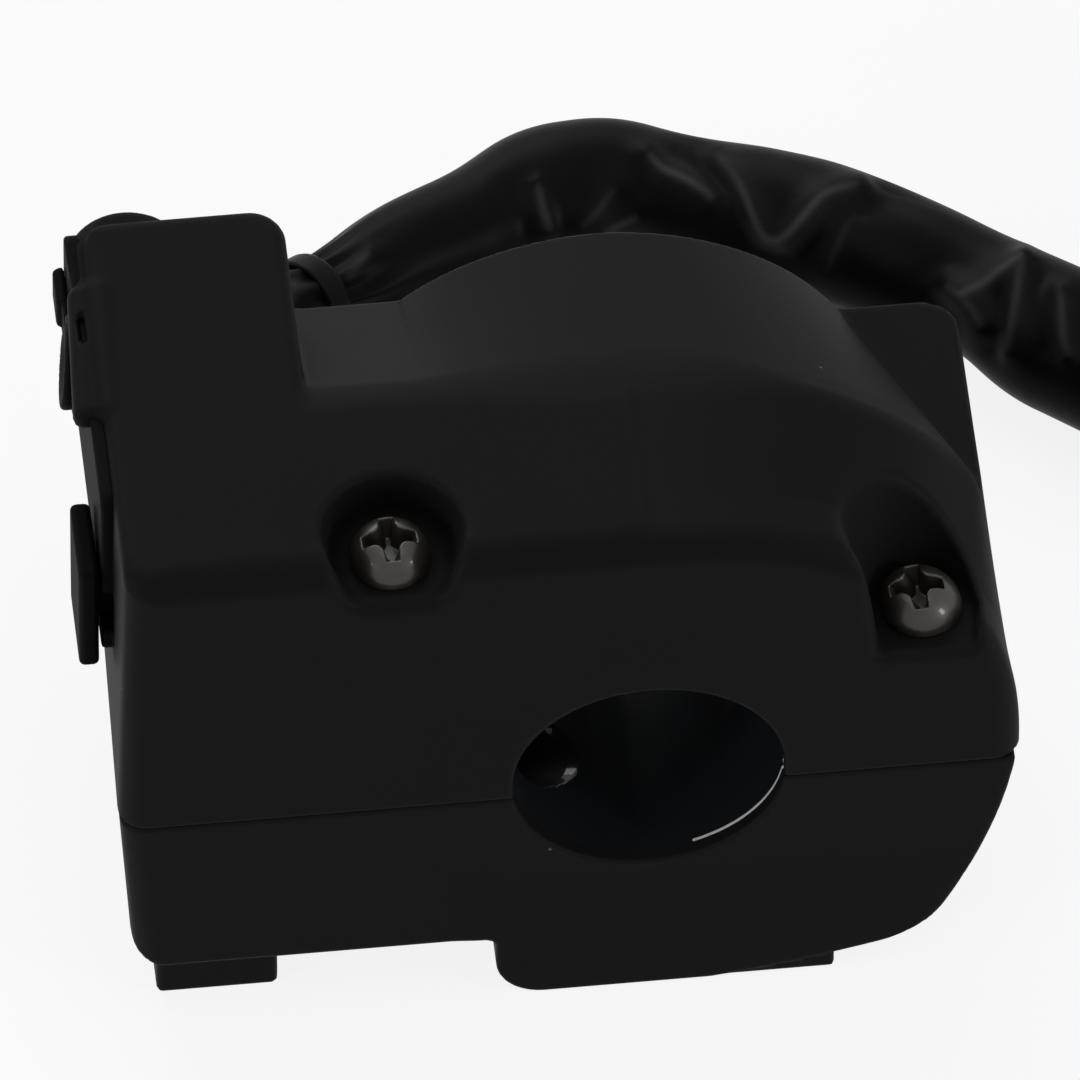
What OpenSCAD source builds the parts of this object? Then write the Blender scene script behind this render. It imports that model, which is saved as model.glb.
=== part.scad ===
// Handlebar switch cluster: a two-part moulded case clamped round a bar, with a horn button,
// a turn knob and a dimmer knob on its control face, and a sleeved wiring harness.
// Frame: origin on the bar axis at the front face, +Y along the bar to the back,
// +X away from the control face, +Z up. The case halves part on the plane z = 0.

/* [Bar clamp] */
// Diameter of the bar that the case clamps
bar_d = 22.2; // [21:0.1:23]
// Length of the case along the bar
case_len = 38.3; // [37:0.1:44]
// Thickness of the case round the bore
bore_wall = 2.5; // [1.8:0.1:2.8]

/* [Case] */
// Distance from the bar axis to the control face
face_x = 43.2; // [42:0.1:50]
// Height of the flat top above the bar axis, and radius of the shoulder
top_z = 29.7; // [29:0.1:34]
// Distance from the bar axis to the shoulder's centre
shoulder_x = 0.5; // [0:0.1:2]
// Depth of the resting plane below the bar axis
foot_z = 27; // [26:0.1:30]
// Depth of the parting plane of the two shells below the bar axis
parting_z = 1.5; // [0.5:0.1:2.5]
// Depth of the lower shell's left bay below the bar axis
bay_z = 19.8; // [18.5:0.1:22]
// Half width of the lower shell on the right
belly_x = 29.9; // [28.5:0.1:32]
// Distance from the bar axis to the left end of the middle block
block_x = 12.5; // [11:0.1:15]
// Wall thickness of the case
wall = 2.4; // [1.8:0.1:2.8]
// Rounding of the front edges
edge_r = 2.2; // [1:0.1:2.6]
// Rounding of the left block's back corners
corner_r = 3.6; // [2:0.1:4.5]
// Thickness of the hood over the controls
hood_t = 1.2; // [0.8:0.1:1.6]
// How far the hood stands out from the control face
hood_out = 1.6; // [1.2:0.1:2.4]

/* [Back of the case] */
// Distance from the front face to the crease of the top
crease_y = 19; // [16:0.1:23]
// Radius of the barrel at the back
barrel_r = 23.3; // [21:0.1:25]
// Height of the ledge at the back
ledge_z = 16.5; // [15:0.1:19]
// Distance from the bar axis to the left block's inner wall
notch_x = 26; // [25.5:0.1:28]
// Height of the shelf beside the barrel
shelf_z = 10.5; // [8:0.1:13]

/* [Case screws] */
// Distance of the left screw from the bar axis
left_screw_x = 20.5; // [20:0.1:22]
// Distance of the left screw from the front face
left_screw_y = 4.5; // [4:0.1:6]
// Depth of the left pocket below the top
left_pocket = 4.7; // [3.5:0.1:6]
// Distance of the right screw from the right wall
right_screw_in = 7.4; // [6.5:0.1:8.5]
// Distance of the right screw from the front face
right_screw_y = 4.5; // [4.5:0.1:6]
// Height of the right pocket's floor above the bar axis
right_pocket_z = 12.9; // [11:0.1:15]
// Thread diameter of the case screws
screw_d = 4; // [3:0.1:4.5]
// Head diameter of the case screws
head_d = 6.9; // [6:0.1:7.6]
// Head height of the case screws
head_h = 2.6; // [2:0.1:3]
// Length of the threaded inserts
insert_len = 8; // [5:0.1:9]

/* [Controls] */
// Thickness of the bezel
bezel_t = 0.8; // [0.6:0.1:1.6]
// Depth of the control bay between the case wall and the contact board
bay_depth = 7.6; // [7:0.1:8.5]
// Thickness of the contact board
board_t = 1.6; // [1:0.1:2]
// Diameter of the horn button
horn_d = 6.9; // [5.5:0.1:7.1]
// How far the horn button stands out from the bezel
horn_out = 1; // [0.8:0.1:2.4]
// How far the horn button is pushed in
horn_travel = 1.8; // [1:0.1:2]
// Width of the turn knob along the bar
turn_w = 8; // [6:0.1:9]
// Height of the turn knob
turn_h = 11.3; // [8:0.1:12]
// How far the turn knob slides to each side
turn_travel = 3; // [2:0.1:3.2]
// Width of the dimmer knob along the bar
dimmer_w = 4.4; // [3:0.1:4.8]
// Height of the dimmer knob
dimmer_h = 5; // [4:0.1:6]
// How far the dimmer knob slides down
dimmer_travel = 5; // [3:0.1:5.5]
// How far the turn and dimmer knobs stand out from the bezel
knob_out = 1.3; // [1:0.1:3]

/* [Harness] */
// Outside diameter of the harness sleeve
sleeve_d = 11; // [10:0.1:11.4]
// Height of the cable exit below the bar axis
exit_z = 10; // [9:0.1:11]
// Distance from the bar axis to the cable exit
exit_x = 30; // [28:0.1:31]
// Diameter of one insulated wire
wire_d = 1.6; // [1.2:0.1:1.8]
// Length of the plug
plug_len = 24; // [20:0.5:30]

/* [Hidden] */
$fn = 64;

// Clearances: between sliding flats, of a button in its hole, of a fixed part on its seat
slide_gap = 0.15;
turn_gap = 0.09;
seat_gap = 0.03;
// Overshoot of a cutting solid past the face that it opens
cut = 1;

// Case
bore_r = bar_d / 2;
tube_r = bore_r + bore_wall;
face = -face_x;
inner_face = face + wall;
back_inner = case_len - wall;
shoulder_r = top_z;
roof = top_z - wall;
// Draft of the lower shell's left wall over its height
lower_draft = 1.1;
// Rounding of the lower shell's left bottom corner and of the middle block
bay_r = 3.5;
block_r = 4;
// Belly: where its underside starts to rise, how far its low corner lies in from the side and up from the
// resting plane, rounding of that corner along its two sides, and bow of the underside and of the side
belly_start = 2;
belly_in = 7.3;
belly_rise = 4.5;
belly_round = 2.2;
belly_bow = [0.45, 0.9];
// Rounding of the top left edge
top_edge_r = 1.4;
// Step down from the shoulder to the start of the barrel
barrel_step = 0.06;
// Front end of the hollow beside the bore, behind the right screw boss
core_y = 13;
// Feet: where each starts from the front, and its span along X
left_foot = [-40.5, -30.3];
left_foot_y = 3.3;
right_foot = [3.4, 15.5];
right_foot_y = 0.3;
foot_len = 14;
foot_r = 1;
// Round port through the bore's left wall, in the lower shell
port_y = 10;
port_z = -5.7;
port_r = 4.4;

// Case screws
screw_r = screw_d / 2;
hole_r = screw_r + 0.25;
insert_r = screw_r + 0.8;
boss_r = insert_r + 1.8;
pocket_r = head_d / 2 + 1.25;
pocket_top_r = head_d / 2 + 2.75;
left_floor = top_z - left_pocket;
right_screw_x = shoulder_x + shoulder_r - right_screw_in;
insert_top = -parting_z - 0.2;
screw_end = insert_top - insert_len - 1.8;
// Cross recess of a screw head: length, width, depth
recess = [4.3, 1.15, 1.5];

// Control bay
board_x = inner_face + bay_depth;
board_back = board_x + board_t;
bezel_face = face - bezel_t;
rivet_r = 0.7;
rivet_h = 0.3;
rivet_face = board_x - rivet_h;
bridge_t = 0.6;
bridge_gap = 0.1;
slider_back = rivet_face - bridge_gap - bridge_t;
slider_front = inner_face + slide_gap;
knob_back = bezel_face - slide_gap;
// Bezel outline: front edge, lowest edge, corner radius and margin at the back
bezel_y = 5.8;
bezel_z = 4;
bezel_r = 2;
bezel_back = case_len - 0.5;
bezel_top = top_z - hood_t - 0.1;
// Hood span along the bar
hood_y = [18.9, 32.4];

// Turn knob, its slider and its rails
turn_y = 13.5;
turn_z = 14.35;
turn_stem = [3, 4.7];
turn_block = [10, turn_h - 0.1];
shield_t = 0.85;
shield_h = 6.4;
shield_w = turn_stem[0] + 4 * turn_travel + 0.4;
rail_t = 1.45;
rail_gap = 0.2;
rail_x = board_x - 1.2;
stem_end = slider_front + 2.65;
socket_gap = 0.05;
ball_r = 1.25;
ball_hole = 0.1;
ball_x = stem_end + 1.9;
ball_clear = 0.05;
ball_z = turn_z + turn_block[1] / 2 + rail_gap - ball_clear - ball_r;
ball_depth = 6;

// Horn button
horn_r = horn_d / 2;
horn_y = case_len - 10.3;
horn_z = top_z - 5.4;
horn_stem_r = 1.2;
horn_flange_r = horn_r + 0.65;
horn_flange_t = 1;
horn_flange_x = inner_face + 0.1;
horn_stop = horn_flange_x + horn_flange_t;
contact_t = 0.5;
contact_r = 2.6;
contact_face = rivet_face - horn_travel - 0.1;
spring_wire = 0.5;
spring_r = contact_r + 0.65 + spring_wire / 2;
horn_curls = 6;

// Dimmer knob and its slider
dimmer_y = back_inner - 1.85;
dimmer_z = top_z - 7.2;
dimmer_stem = [1.8, 1.6];
dimmer_block_w = 3.3;
dimmer_block_z = [-6.2, 4.4];
small_ball_r = 0.85;
small_ball_y = back_inner - ball_clear - small_ball_r;
small_ball_depth = 2.8;
detent_wire = 0.3;
detent_curls = 4;

// Contact board outline, its screws and its contacts
board_y = [4.6, back_inner - 0.3];
board_z = [6.2, roof - 0.3];
board_bosses = [[11, roof - 2.7], [27.5, 11.5]];
board_boss_r = 2.2;
board_screw_r = 1;
board_head_r = 1.9;
board_head_h = 1.4;
rivets = [
  [turn_y - 4.5, turn_z], [turn_y, turn_z], [turn_y + 4.5, turn_z],
  [horn_y - 2, horn_z], [horn_y + 2, horn_z],
  [dimmer_y, dimmer_z + 1.8], [dimmer_y, dimmer_z - 2], [dimmer_y, dimmer_z - 6.8]
];
tail_len = 0.8;

// Grommet, its boot and the ties
groove_r = 5.1;
flange_out_r = 6.6;
grommet_flange_t = 1.3;
wire_bore_r = 3.4;
sleeve_r = sleeve_d / 2;
boot_end = case_len + 7.7;
tie_w = 3.6;
tie_t = 0.7;
tie_head = [3.2, 4, 2.6];
coil_tie_t = 0.6;

// Harness route, chosen by hand: from the boot, round behind the case and along the resting plane
floor_z = -20.8;
route = [
  [-30, 46, -10], [-29.6, 50.2, -10.4], [-28.6, 54.2, -11.2], [-26.8, 58, -12.3], [-24.4, 61.2, -13.8],
  [-21.4, 64, -15.4], [-18, 66.6, -16.6], [-14.2, 69, -17.5], [-6.4, 73.2, -19.4], [-0.6, 76, -20.6],
  [6, 77.4, floor_z], [11, 76.8, floor_z], [16, 75, floor_z], [20, 72.6, floor_z], [24.5, 70, floor_z],
  [29, 67, floor_z], [34, 63.2, floor_z], [39, 59, floor_z], [45.5, 53.2, floor_z], [52, 47.4, floor_z],
  [58.5, 41.6, floor_z], [65, 35.8, floor_z], [71.5, 30, floor_z]
];
// The sleeve is gathered by the tie, and slack after it: shares of its radius at rings of the route
neck_at = 5;
route_share = [
  for (i = [0 : len(route) - 1])
    i == neck_at ? 0.58 : i == neck_at - 1 ? 0.78 : i == neck_at + 1 ? 0.76 : i == neck_at + 2 ? 0.86 :
    i == neck_at + 4 ? 1.1 : 1
];
route_r = route_share * sleeve_r;
neck_r = route_r[neck_at];
route_end = route[len(route) - 1];
// The put-away loop: its outer radius, step between strands and turn, all along the resting plane
loop_r = 63;
loop_gap = 1;
loop_step = sleeve_d + loop_gap;
loop_turn = 378;
loop_rings = 24;
loop_heading = -39.7;
loop_start = loop_heading - 90;
loop_centre = route_end - loop_r * [cos(loop_start), sin(loop_start), 0];
function loop_point(a) =
  let (r = loop_r - loop_step * a / 360)
  loop_centre + r * [cos(loop_start + a), sin(loop_start + a), 0];
function loop_tangent(a) = [-sin(loop_start + a), cos(loop_start + a), 0];
loop_path = [for (i = [0 : loop_rings * loop_turn / 360]) loop_point(i * 360 / loop_rings)];
loop_last = (len(loop_path) - 1) * 360 / loop_rings;
tie_at = 15;

// Plug: it lies inside the loop, turned a little from the sleeve's end
plug_w = 17;
plug_h = 12.4;
plug_wall = 1.6;
plug_at = 285;
plug_in = 42;
plug_turn = 15;
plug_place = loop_centre + [plug_in * cos(plug_at), plug_in * sin(plug_at), -foot_z - floor_z + plug_h / 2];
pin_pitch = 4.8;
pin_size = [0.8, 6, 2.2];
latch_h = 2;
plug_cells = [for (i = [-1 : 1], j = [-1, 1]) [i * pin_pitch, j * 2.2 - latch_h / 2]];

// Swept tube: rings of n points round the path, closed with flat ends
function unit(v) = v / norm(v);
function heading(path, i) =
  unit(path[min(i + 1, len(path) - 1)] - path[max(i - 1, 0)]);
function ring(centre, along, up, r, n) =
  let (side = unit(cross(along, up)), rise = cross(side, along))
  [for (k = [0 : n - 1]) centre + r * (cos(360 * k / n) * side + sin(360 * k / n) * rise)];
function bezier(a, b, c, d, t) =
  pow(1 - t, 3) * a + 3 * t * pow(1 - t, 2) * b + 3 * t * t * (1 - t) * c + pow(t, 3) * d;

module tube(path, r, n, up = [0, 0, 1], first = undef, last = undef) {
  m = len(path);
  radii = is_list(r) ? r : [for (p = path) r];
  points = [
    for (i = [0 : m - 1])
      each ring(
        path[i],
        i == 0 && !is_undef(first) ? first : i == m - 1 && !is_undef(last) ? last : heading(path, i),
        up, radii[i], n
      )
  ];
  sides = [
    for (i = [0 : m - 2], k = [0 : n - 1])
      let (a = i * n + k, b = i * n + (k + 1) % n)
      each [[a, a + n, b + n], [a, b + n, b]]
  ];
  caps = [
    for (k = [1 : n - 2])
      each [[0, k, k + 1], [(m - 1) * n, (m - 1) * n + k + 1, (m - 1) * n + k]]
  ];
  polyhedron(points, concat(sides, caps));
}

// Coil spring along the axis from a to b, round the line between them
module spring(a, b, r, wire, curls) {
  along = unit(b - a);
  start = abs(along[2]) > 0.5 ? [1, 0, 0] : [0, 0, 1];
  other = cross(along, start);
  rise = norm(b - a) - wire;
  path = [
    for (i = [0 : curls * 8])
      a + along * (wire / 2 + rise * i / (curls * 8)) + r * (cos(45 * i) * start + sin(45 * i) * other)
  ];
  tube(path, wire / 2, 6, along);
}

// Solids along X and Y between two planes
module rod_x(r, x0, x1) translate([x0, 0, 0]) rotate([0, 90, 0]) cylinder(r = r, h = x1 - x0);
module rod_y(r, y0, y1) translate([0, y0, 0]) rotate([-90, 0, 0]) cylinder(r = r, h = y1 - y0);
module prism_x(x0, x1) translate([x0, 0, 0]) rotate([90, 0, 90]) linear_extrude(x1 - x0) children();
module prism_y(y0, y1) translate([0, y1, 0]) rotate([90, 0, 0]) linear_extrude(y1 - y0) children();
module block(low, high) translate(low) cube(high - low);

// Plate across X with rounded corners, from corner a to corner b in Y and Z
module plate_x(x0, x1, a, b, r) {
  block([x0, a[0] + r, a[1]], [x1, b[0] - r, b[1]]);
  block([x0, a[0], a[1] + r], [x1, b[0], b[1] - r]);
  for (y = [a[0] + r, b[0] - r], z = [a[1] + r, b[1] - r])
    translate([0, y, z]) rod_x(r, x0, x1);
}

// Cutter that rounds an edge along Z at the corner (x, y), with the solid towards (dx, dy)
module round_z(x, y, dx, dy, r, z0, z1) {
  difference() {
    block(
      [min(x - cut * dx, x + r * dx), min(y - cut * dy, y + r * dy), z0],
      [max(x - cut * dx, x + r * dx), max(y - cut * dy, y + r * dy), z1]
    );
    translate([x + r * dx, y + r * dy, z0 - cut]) cylinder(r = r, h = z1 - z0 + 2 * cut);
  }
}

// Outlines of the barrel's two ends in X and Z, from the ledge to the right
ledge_end = sqrt(barrel_r * barrel_r - ledge_z * ledge_z);
function shoulder_outline(n) =
  let (r = shoulder_r - barrel_step)
  concat(
    [[-ledge_end, -parting_z], [-ledge_end, r]],
    [for (i = [0 : n]) [shoulder_x + r * sin(90 * i / n), r * cos(90 * i / n)]],
    [[shoulder_x + r, -parting_z]]
  );
function arch_outline(n) =
  let (start = acos(ledge_end / barrel_r))
  concat(
    [[-ledge_end, -parting_z]],
    [for (i = [0 : n]) let (a = start + (180 - start) * i / n) [-barrel_r * cos(a), barrel_r * sin(a)]],
    [[barrel_r, -parting_z]]
  );

// Outer form of the upper shell
module upper_form() {
  block([face, 0, -parting_z], [shoulder_x, crease_y, top_z - top_edge_r]);
  block([face + top_edge_r, 0, -parting_z], [shoulder_x, crease_y, top_z]);
  intersection() {
    translate([shoulder_x, 0, 0]) rod_y(shoulder_r, 0, crease_y);
    block([0, -cut, -parting_z], [shoulder_x + shoulder_r + cut, case_len, top_z + cut]);
  }
  // Shelf: the shoulder's foot goes on to the back beside the barrel
  intersection() {
    translate([shoulder_x, 0, 0]) rod_y(shoulder_r - barrel_step / 2, crease_y - cut, case_len);
    block([tube_r, 0, -parting_z], [shoulder_x + shoulder_r + cut, case_len + cut, shelf_z]);
  }
  // Left block, full height to the back
  block([face, crease_y - cut, -parting_z], [-notch_x, case_len, top_z - top_edge_r]);
  block([face + top_edge_r, crease_y - cut, -parting_z], [-notch_x, case_len, top_z]);
  translate([face + top_edge_r, 0, top_z - top_edge_r]) rod_y(top_edge_r, 0, case_len);
  // Ledge that slopes down to the back
  prism_x(-notch_x - cut, -ledge_end + cut)
    polygon([
      [crease_y - cut, -parting_z], [crease_y - cut, ledge_z], [crease_y, top_z],
      [case_len, ledge_z], [case_len, -parting_z]
    ]);
  // Barrel, drawn in from the front outline to the arch at the back
  hull() {
    prism_y(crease_y - 0.1, crease_y) polygon(shoulder_outline(20));
    prism_y(case_len - 0.1, case_len) polygon(arch_outline(32));
  }
  // Hood over the controls
  plate_hood();
}

module plate_hood() {
  r = hood_out * 0.6;
  block([face - hood_out, hood_y[0] + r, top_z - hood_t], [face + top_edge_r, hood_y[1], top_z]);
  block([face - hood_out + r, hood_y[0], top_z - hood_t], [face + top_edge_r, hood_y[0] + r + cut, top_z]);
  translate([face - hood_out + r, hood_y[0] + r, top_z - hood_t]) cylinder(r = r, h = hood_t);
}

// Rounded front and back edges of the upper shell
module upper_rounding() {
  difference() {
    block([face - cut, -cut, top_z - edge_r], [shoulder_x, edge_r, top_z + cut]);
    translate([0, edge_r, top_z - edge_r]) rod_x(edge_r, face - 2 * cut, shoulder_x + cut);
  }
  intersection() {
    translate([shoulder_x, 0, 0]) rotate([-90, 0, 0]) rotate_extrude()
      difference() {
        translate([shoulder_r - edge_r, -cut]) square([edge_r + cut, edge_r + cut]);
        translate([shoulder_r - edge_r, edge_r]) circle(edge_r);
      }
    block([shoulder_x, -2 * cut, -parting_z - cut], [2 * top_z, crease_y, 2 * top_z]);
  }
  round_z(face, 0, 1, 1, edge_r, -parting_z - cut, top_z + cut);
  round_z(face, case_len, 1, -1, corner_r, -parting_z - cut, top_z + cut);
  round_z(-notch_x, case_len, -1, -1, corner_r, ledge_z, top_z + cut);
}

// Hollow of the upper shell round the controls
module upper_bay() {
  block([inner_face, wall, -parting_z - cut], [-notch_x - wall, back_inner, roof]);
  translate([0, horn_y, horn_z]) rod_x(horn_flange_r + 0.25, inner_face, board_x + 0.2);
  difference() {
    block([-notch_x - wall - cut, wall, -parting_z - cut], [-tube_r, back_inner, ledge_z - wall - 0.7]);
    translate([-left_screw_x, left_screw_y, -parting_z - 2 * cut]) cylinder(r = boss_r, h = top_z);
  }
}

// Hollow between the bore and the shoulder
module upper_core() {
  intersection() {
    difference() {
      union() {
        translate([0, core_y, 0]) rotate([-90, 0, 0])
          cylinder(r1 = top_z - wall - 0.4, r2 = barrel_r - wall, h = back_inner - core_y);
        intersection() {
          rod_y(top_z - wall - 0.8, core_y + 1, back_inner - 0.2);
          block([bore_wall, 0, -parting_z - 2 * cut], [top_z, case_len, shelf_z - wall]);
        }
      }
      rod_y(tube_r, 0, case_len);
    }
    block([bore_wall, 0, -parting_z - cut], [top_z, case_len, top_z]);
  }
}

// Openings of the control face, each with a clearance round what passes through it
module control_openings(x0, x1) {
  play = [slide_gap + 0.05, slide_gap];
  block(
    [x0, turn_y - turn_stem[0] / 2 - turn_travel - play[0], turn_z - turn_stem[1] / 2 - play[1]],
    [x1, turn_y + turn_stem[0] / 2 + turn_travel + play[0], turn_z + turn_stem[1] / 2 + play[1]]
  );
  block(
    [x0, dimmer_y - dimmer_stem[0] / 2 - play[1], dimmer_z - dimmer_stem[1] / 2 - dimmer_travel - play[0]],
    [x1, dimmer_y + dimmer_stem[0] / 2 + play[1], dimmer_z + dimmer_stem[1] / 2 + play[0]]
  );
  translate([0, horn_y, horn_z]) rod_x(horn_r + turn_gap, x0, x1);
}

// Tapered pocket for a screw head, open to the front
module pocket(x, y, floor, ceiling) {
  depth = ceiling - floor;
  translate([x, y, floor]) cylinder(r1 = pocket_r, r2 = pocket_top_r, h = depth + 0.01);
  block([x - pocket_r, -cut, floor], [x + pocket_r, y, ceiling + cut]);
}

// Rails that guide the turn slider, and bosses for the contact board
module bay_ribs() {
  half = turn_block[1] / 2 + rail_gap;
  difference() {
    for (z = [turn_z + half, turn_z - half - rail_t])
      block([inner_face - 0.2, wall - 0.2, z], [rail_x, turn_y + 9, z + rail_t]);
    for (k = [-1 : 1])
      translate([ball_x, turn_y + k * turn_travel, ball_z + 0.35]) rotate([90, 0, 0]) sphere(r = ball_r + ball_hole);
  }
  for (p = board_bosses)
    translate([0, p[0], p[1]]) difference() {
      rod_x(board_boss_r, inner_face - 0.2, board_x);
      rod_x(board_screw_r + seat_gap, inner_face + cut, board_x + cut);
    }
}

module upper_shell() {
  color([0.11, 0.11, 0.12]) {
    difference() {
      upper_form();
      upper_rounding();
      upper_bay();
      upper_core();
      rod_y(bore_r, -cut, case_len + cut);
      control_openings(face - cut, inner_face + cut);
      pocket(-left_screw_x, left_screw_y, left_floor, top_z);
      pocket(right_screw_x, right_screw_y, right_pocket_z, top_z);
      for (p = [[-left_screw_x, left_screw_y], [right_screw_x, right_screw_y]])
        translate([p[0], p[1], -parting_z - cut]) cylinder(r = hole_r, h = top_z);
    }
    bay_ribs();
  }
}

// Outline of the lower shell in X and Z, left to right along its underside
function corner(x, z, r, a0, a1, n = 8) =
  [for (i = [0 : n]) let (a = a0 + (a1 - a0) * i / n) [x + r * cos(a), z + r * sin(a)]];
// Points from a to b on a curve that bows out by h to the right of the way from a to b
function bow(a, b, h, n) =
  let (d = b - a, out = [d[1], -d[0]] / norm(d))
  [for (i = [0 : n]) let (t = i / n) a + t * d + 4 * h * t * (1 - t) * out];
// Points that round the corner c from a to b
function turn(a, c, b, n) =
  [for (i = [1 : n - 1]) let (t = i / n) (1 - t) * (1 - t) * a + 2 * t * (1 - t) * c + t * t * b];
function belly(n) =
  let (
    low = [belly_start, -foot_z],
    tip = [belly_x - belly_in, -foot_z + belly_rise],
    high = [belly_x, -parting_z],
    before = tip + belly_round * (low - tip) / norm(low - tip),
    after = tip + belly_round * (high - tip) / norm(high - tip)
  )
  concat(bow(low, before, belly_bow[0], n), turn(before, tip, after, 6), bow(after, high, belly_bow[1], n));
lower_outline = concat(
  [[face, -parting_z]],
  corner(face + lower_draft + bay_r, -bay_z + bay_r, bay_r, 180, 270),
  [[-block_x, -bay_z]],
  corner(-block_x + block_r, -foot_z + block_r, block_r, 180, 270),
  belly(10)
);

module foot(span, y) {
  block([span[0], y, -foot_z], [span[1], y + foot_len, -bay_z + wall]);
}

module lower_form() {
  prism_y(0, case_len) polygon(lower_outline);
  foot(left_foot, left_foot_y);
  foot(right_foot, right_foot_y);
}

module lower_bay() {
  difference() {
    block([inner_face + lower_draft, wall, -bay_z + wall], [-tube_r, back_inner, cut]);
    translate([-left_screw_x, left_screw_y, -foot_z]) cylinder(r = boss_r, h = foot_z + 2 * cut);
  }
}

module lower_core() {
  intersection() {
    difference() {
      rod_y(foot_z - wall - 0.6, core_y, back_inner);
      rod_y(tube_r, 0, case_len);
    }
    block([-block_x + wall, 0, -foot_z], [belly_x, case_len, cut]);
  }
}

module lower_shell() {
  color([0.11, 0.11, 0.12]) difference() {
    lower_form();
    lower_bay();
    lower_core();
    round_z(face, 0, 1, 1, edge_r, -foot_z - cut, cut);
    round_z(face, case_len, 1, -1, corner_r, -foot_z - cut, cut);
    rod_y(bore_r, -cut, case_len + cut);
    for (p = [[-left_screw_x, left_screw_y], [right_screw_x, right_screw_y]])
      translate([p[0], p[1], 0]) {
        translate([0, 0, screw_end - 1.5]) cylinder(r = hole_r, h = foot_z);
        translate([0, 0, insert_top - insert_len]) cylinder(r = insert_r + seat_gap, h = foot_z);
      }
    translate([-exit_x, 0, -exit_z]) rod_y(groove_r + seat_gap, back_inner - cut, case_len + cut);
    translate([0, port_y, port_z]) rod_x(port_r, -tube_r - cut, -bore_r / 4);
  }
}

// Pan-head screw standing on z = floor, with its shank down to z = end
module case_screw(place, floor) {
  rim = head_h * 0.35;
  steps = 6;
  color([0.32, 0.31, 0.28]) translate([place[0], place[1], floor]) difference() {
    union() {
      rotate_extrude() polygon(concat(
        [[0, 0], [head_d / 2, 0]],
        [for (i = [0 : steps]) let (a = 90 * i / steps)
          [head_d / 2 * pow(cos(a), 0.8), rim + (head_h - rim) * sin(a)]]
      ));
      translate([0, 0, screw_end - floor]) cylinder(r = screw_r, h = floor - screw_end + rim);
    }
    for (a = [0, 90])
      rotate([0, 0, a + 8]) translate([-recess[0] / 2, -recess[1] / 2, head_h - recess[2]])
        cube([recess[0], recess[1], recess[2] + cut]);
  }
}

module long_case_screw() case_screw([-left_screw_x, left_screw_y], left_floor);
module short_case_screw() case_screw([right_screw_x, right_screw_y], right_pocket_z);

module screw_inserts() {
  color([0.72, 0.56, 0.25])
    for (p = [[-left_screw_x, left_screw_y], [right_screw_x, right_screw_y]])
      translate([p[0], p[1], insert_top - insert_len]) difference() {
        cylinder(r = insert_r, h = insert_len);
        translate([0, 0, -cut]) cylinder(r = screw_r + seat_gap, h = insert_len + 2 * cut);
      }
}

module switch_bezel() {
  color([0.1, 0.1, 0.11]) difference() {
    plate_x(bezel_face, face, [bezel_y, bezel_z], [bezel_back, bezel_top], bezel_r);
    control_openings(bezel_face - cut, face + cut);
  }
}

module contact_board() {
  color([0.45, 0.28, 0.14]) difference() {
    plate_x(board_x, board_back, [board_y[0], board_z[0]], [board_y[1], board_z[1]], 1);
    for (p = board_bosses)
      translate([0, p[0], p[1]]) rod_x(board_screw_r + 0.15, board_x - cut, board_back + cut);
    for (p = rivets)
      translate([0, p[0], p[1]]) rod_x(rivet_r * 0.6, board_x - cut, board_back + cut);
  }
}

module board_contacts() {
  color([0.8, 0.62, 0.28]) for (p = rivets) translate([0, p[0], p[1]]) {
    rod_x(rivet_r, rivet_face, board_x);
    rod_x(rivet_r * 0.6 - seat_gap, rivet_face, board_back + tail_len);
  }
}

module board_screws() {
  color([0.62, 0.62, 0.6]) for (p = board_bosses) translate([0, p[0], p[1]]) difference() {
    union() {
      rod_x(board_head_r, board_back, board_back + board_head_h);
      rod_x(board_screw_r, inner_face + cut + 0.6, board_back + 0.1);
    }
    for (a = [0, 90]) rotate([a, 0, 0])
      block([board_back + board_head_h - 0.8, -1.2, -0.3], [board_back + board_head_h + cut, 1.2, 0.3]);
  }
}

module horn_button() {
  color([0.09, 0.09, 0.1]) translate([0, horn_y, horn_z]) {
    rod_x(horn_r, bezel_face - horn_out, horn_flange_x + 0.1);
    rod_x(horn_flange_r, horn_flange_x, horn_stop);
    rod_x(horn_stem_r, horn_flange_x, contact_face + 0.2);
  }
}

module horn_contact() {
  color([0.8, 0.62, 0.28]) translate([0, horn_y, horn_z]) difference() {
    rod_x(contact_r, contact_face - contact_t, contact_face);
    rod_x(horn_stem_r + seat_gap, contact_face - contact_t - cut, contact_face + cut);
  }
}

module horn_spring() {
  color([0.75, 0.75, 0.74])
    spring(
      [horn_stop + 0.1, horn_y, horn_z], [board_x - 0.1, horn_y, horn_z],
      spring_r, spring_wire, horn_curls
    );
}

module turn_knob() {
  low = [turn_y - turn_w / 2, turn_z - turn_h / 2];
  high = [turn_y + turn_w / 2, turn_z + turn_h / 2];
  color([0.09, 0.09, 0.1]) {
    plate_x(bezel_face - knob_out, knob_back, low, high, 0.8);
    block(
      [knob_back - 0.1, turn_y - turn_stem[0] / 2, turn_z - turn_stem[1] / 2],
      [stem_end, turn_y + turn_stem[0] / 2, turn_z + turn_stem[1] / 2]
    );
  }
}

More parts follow.
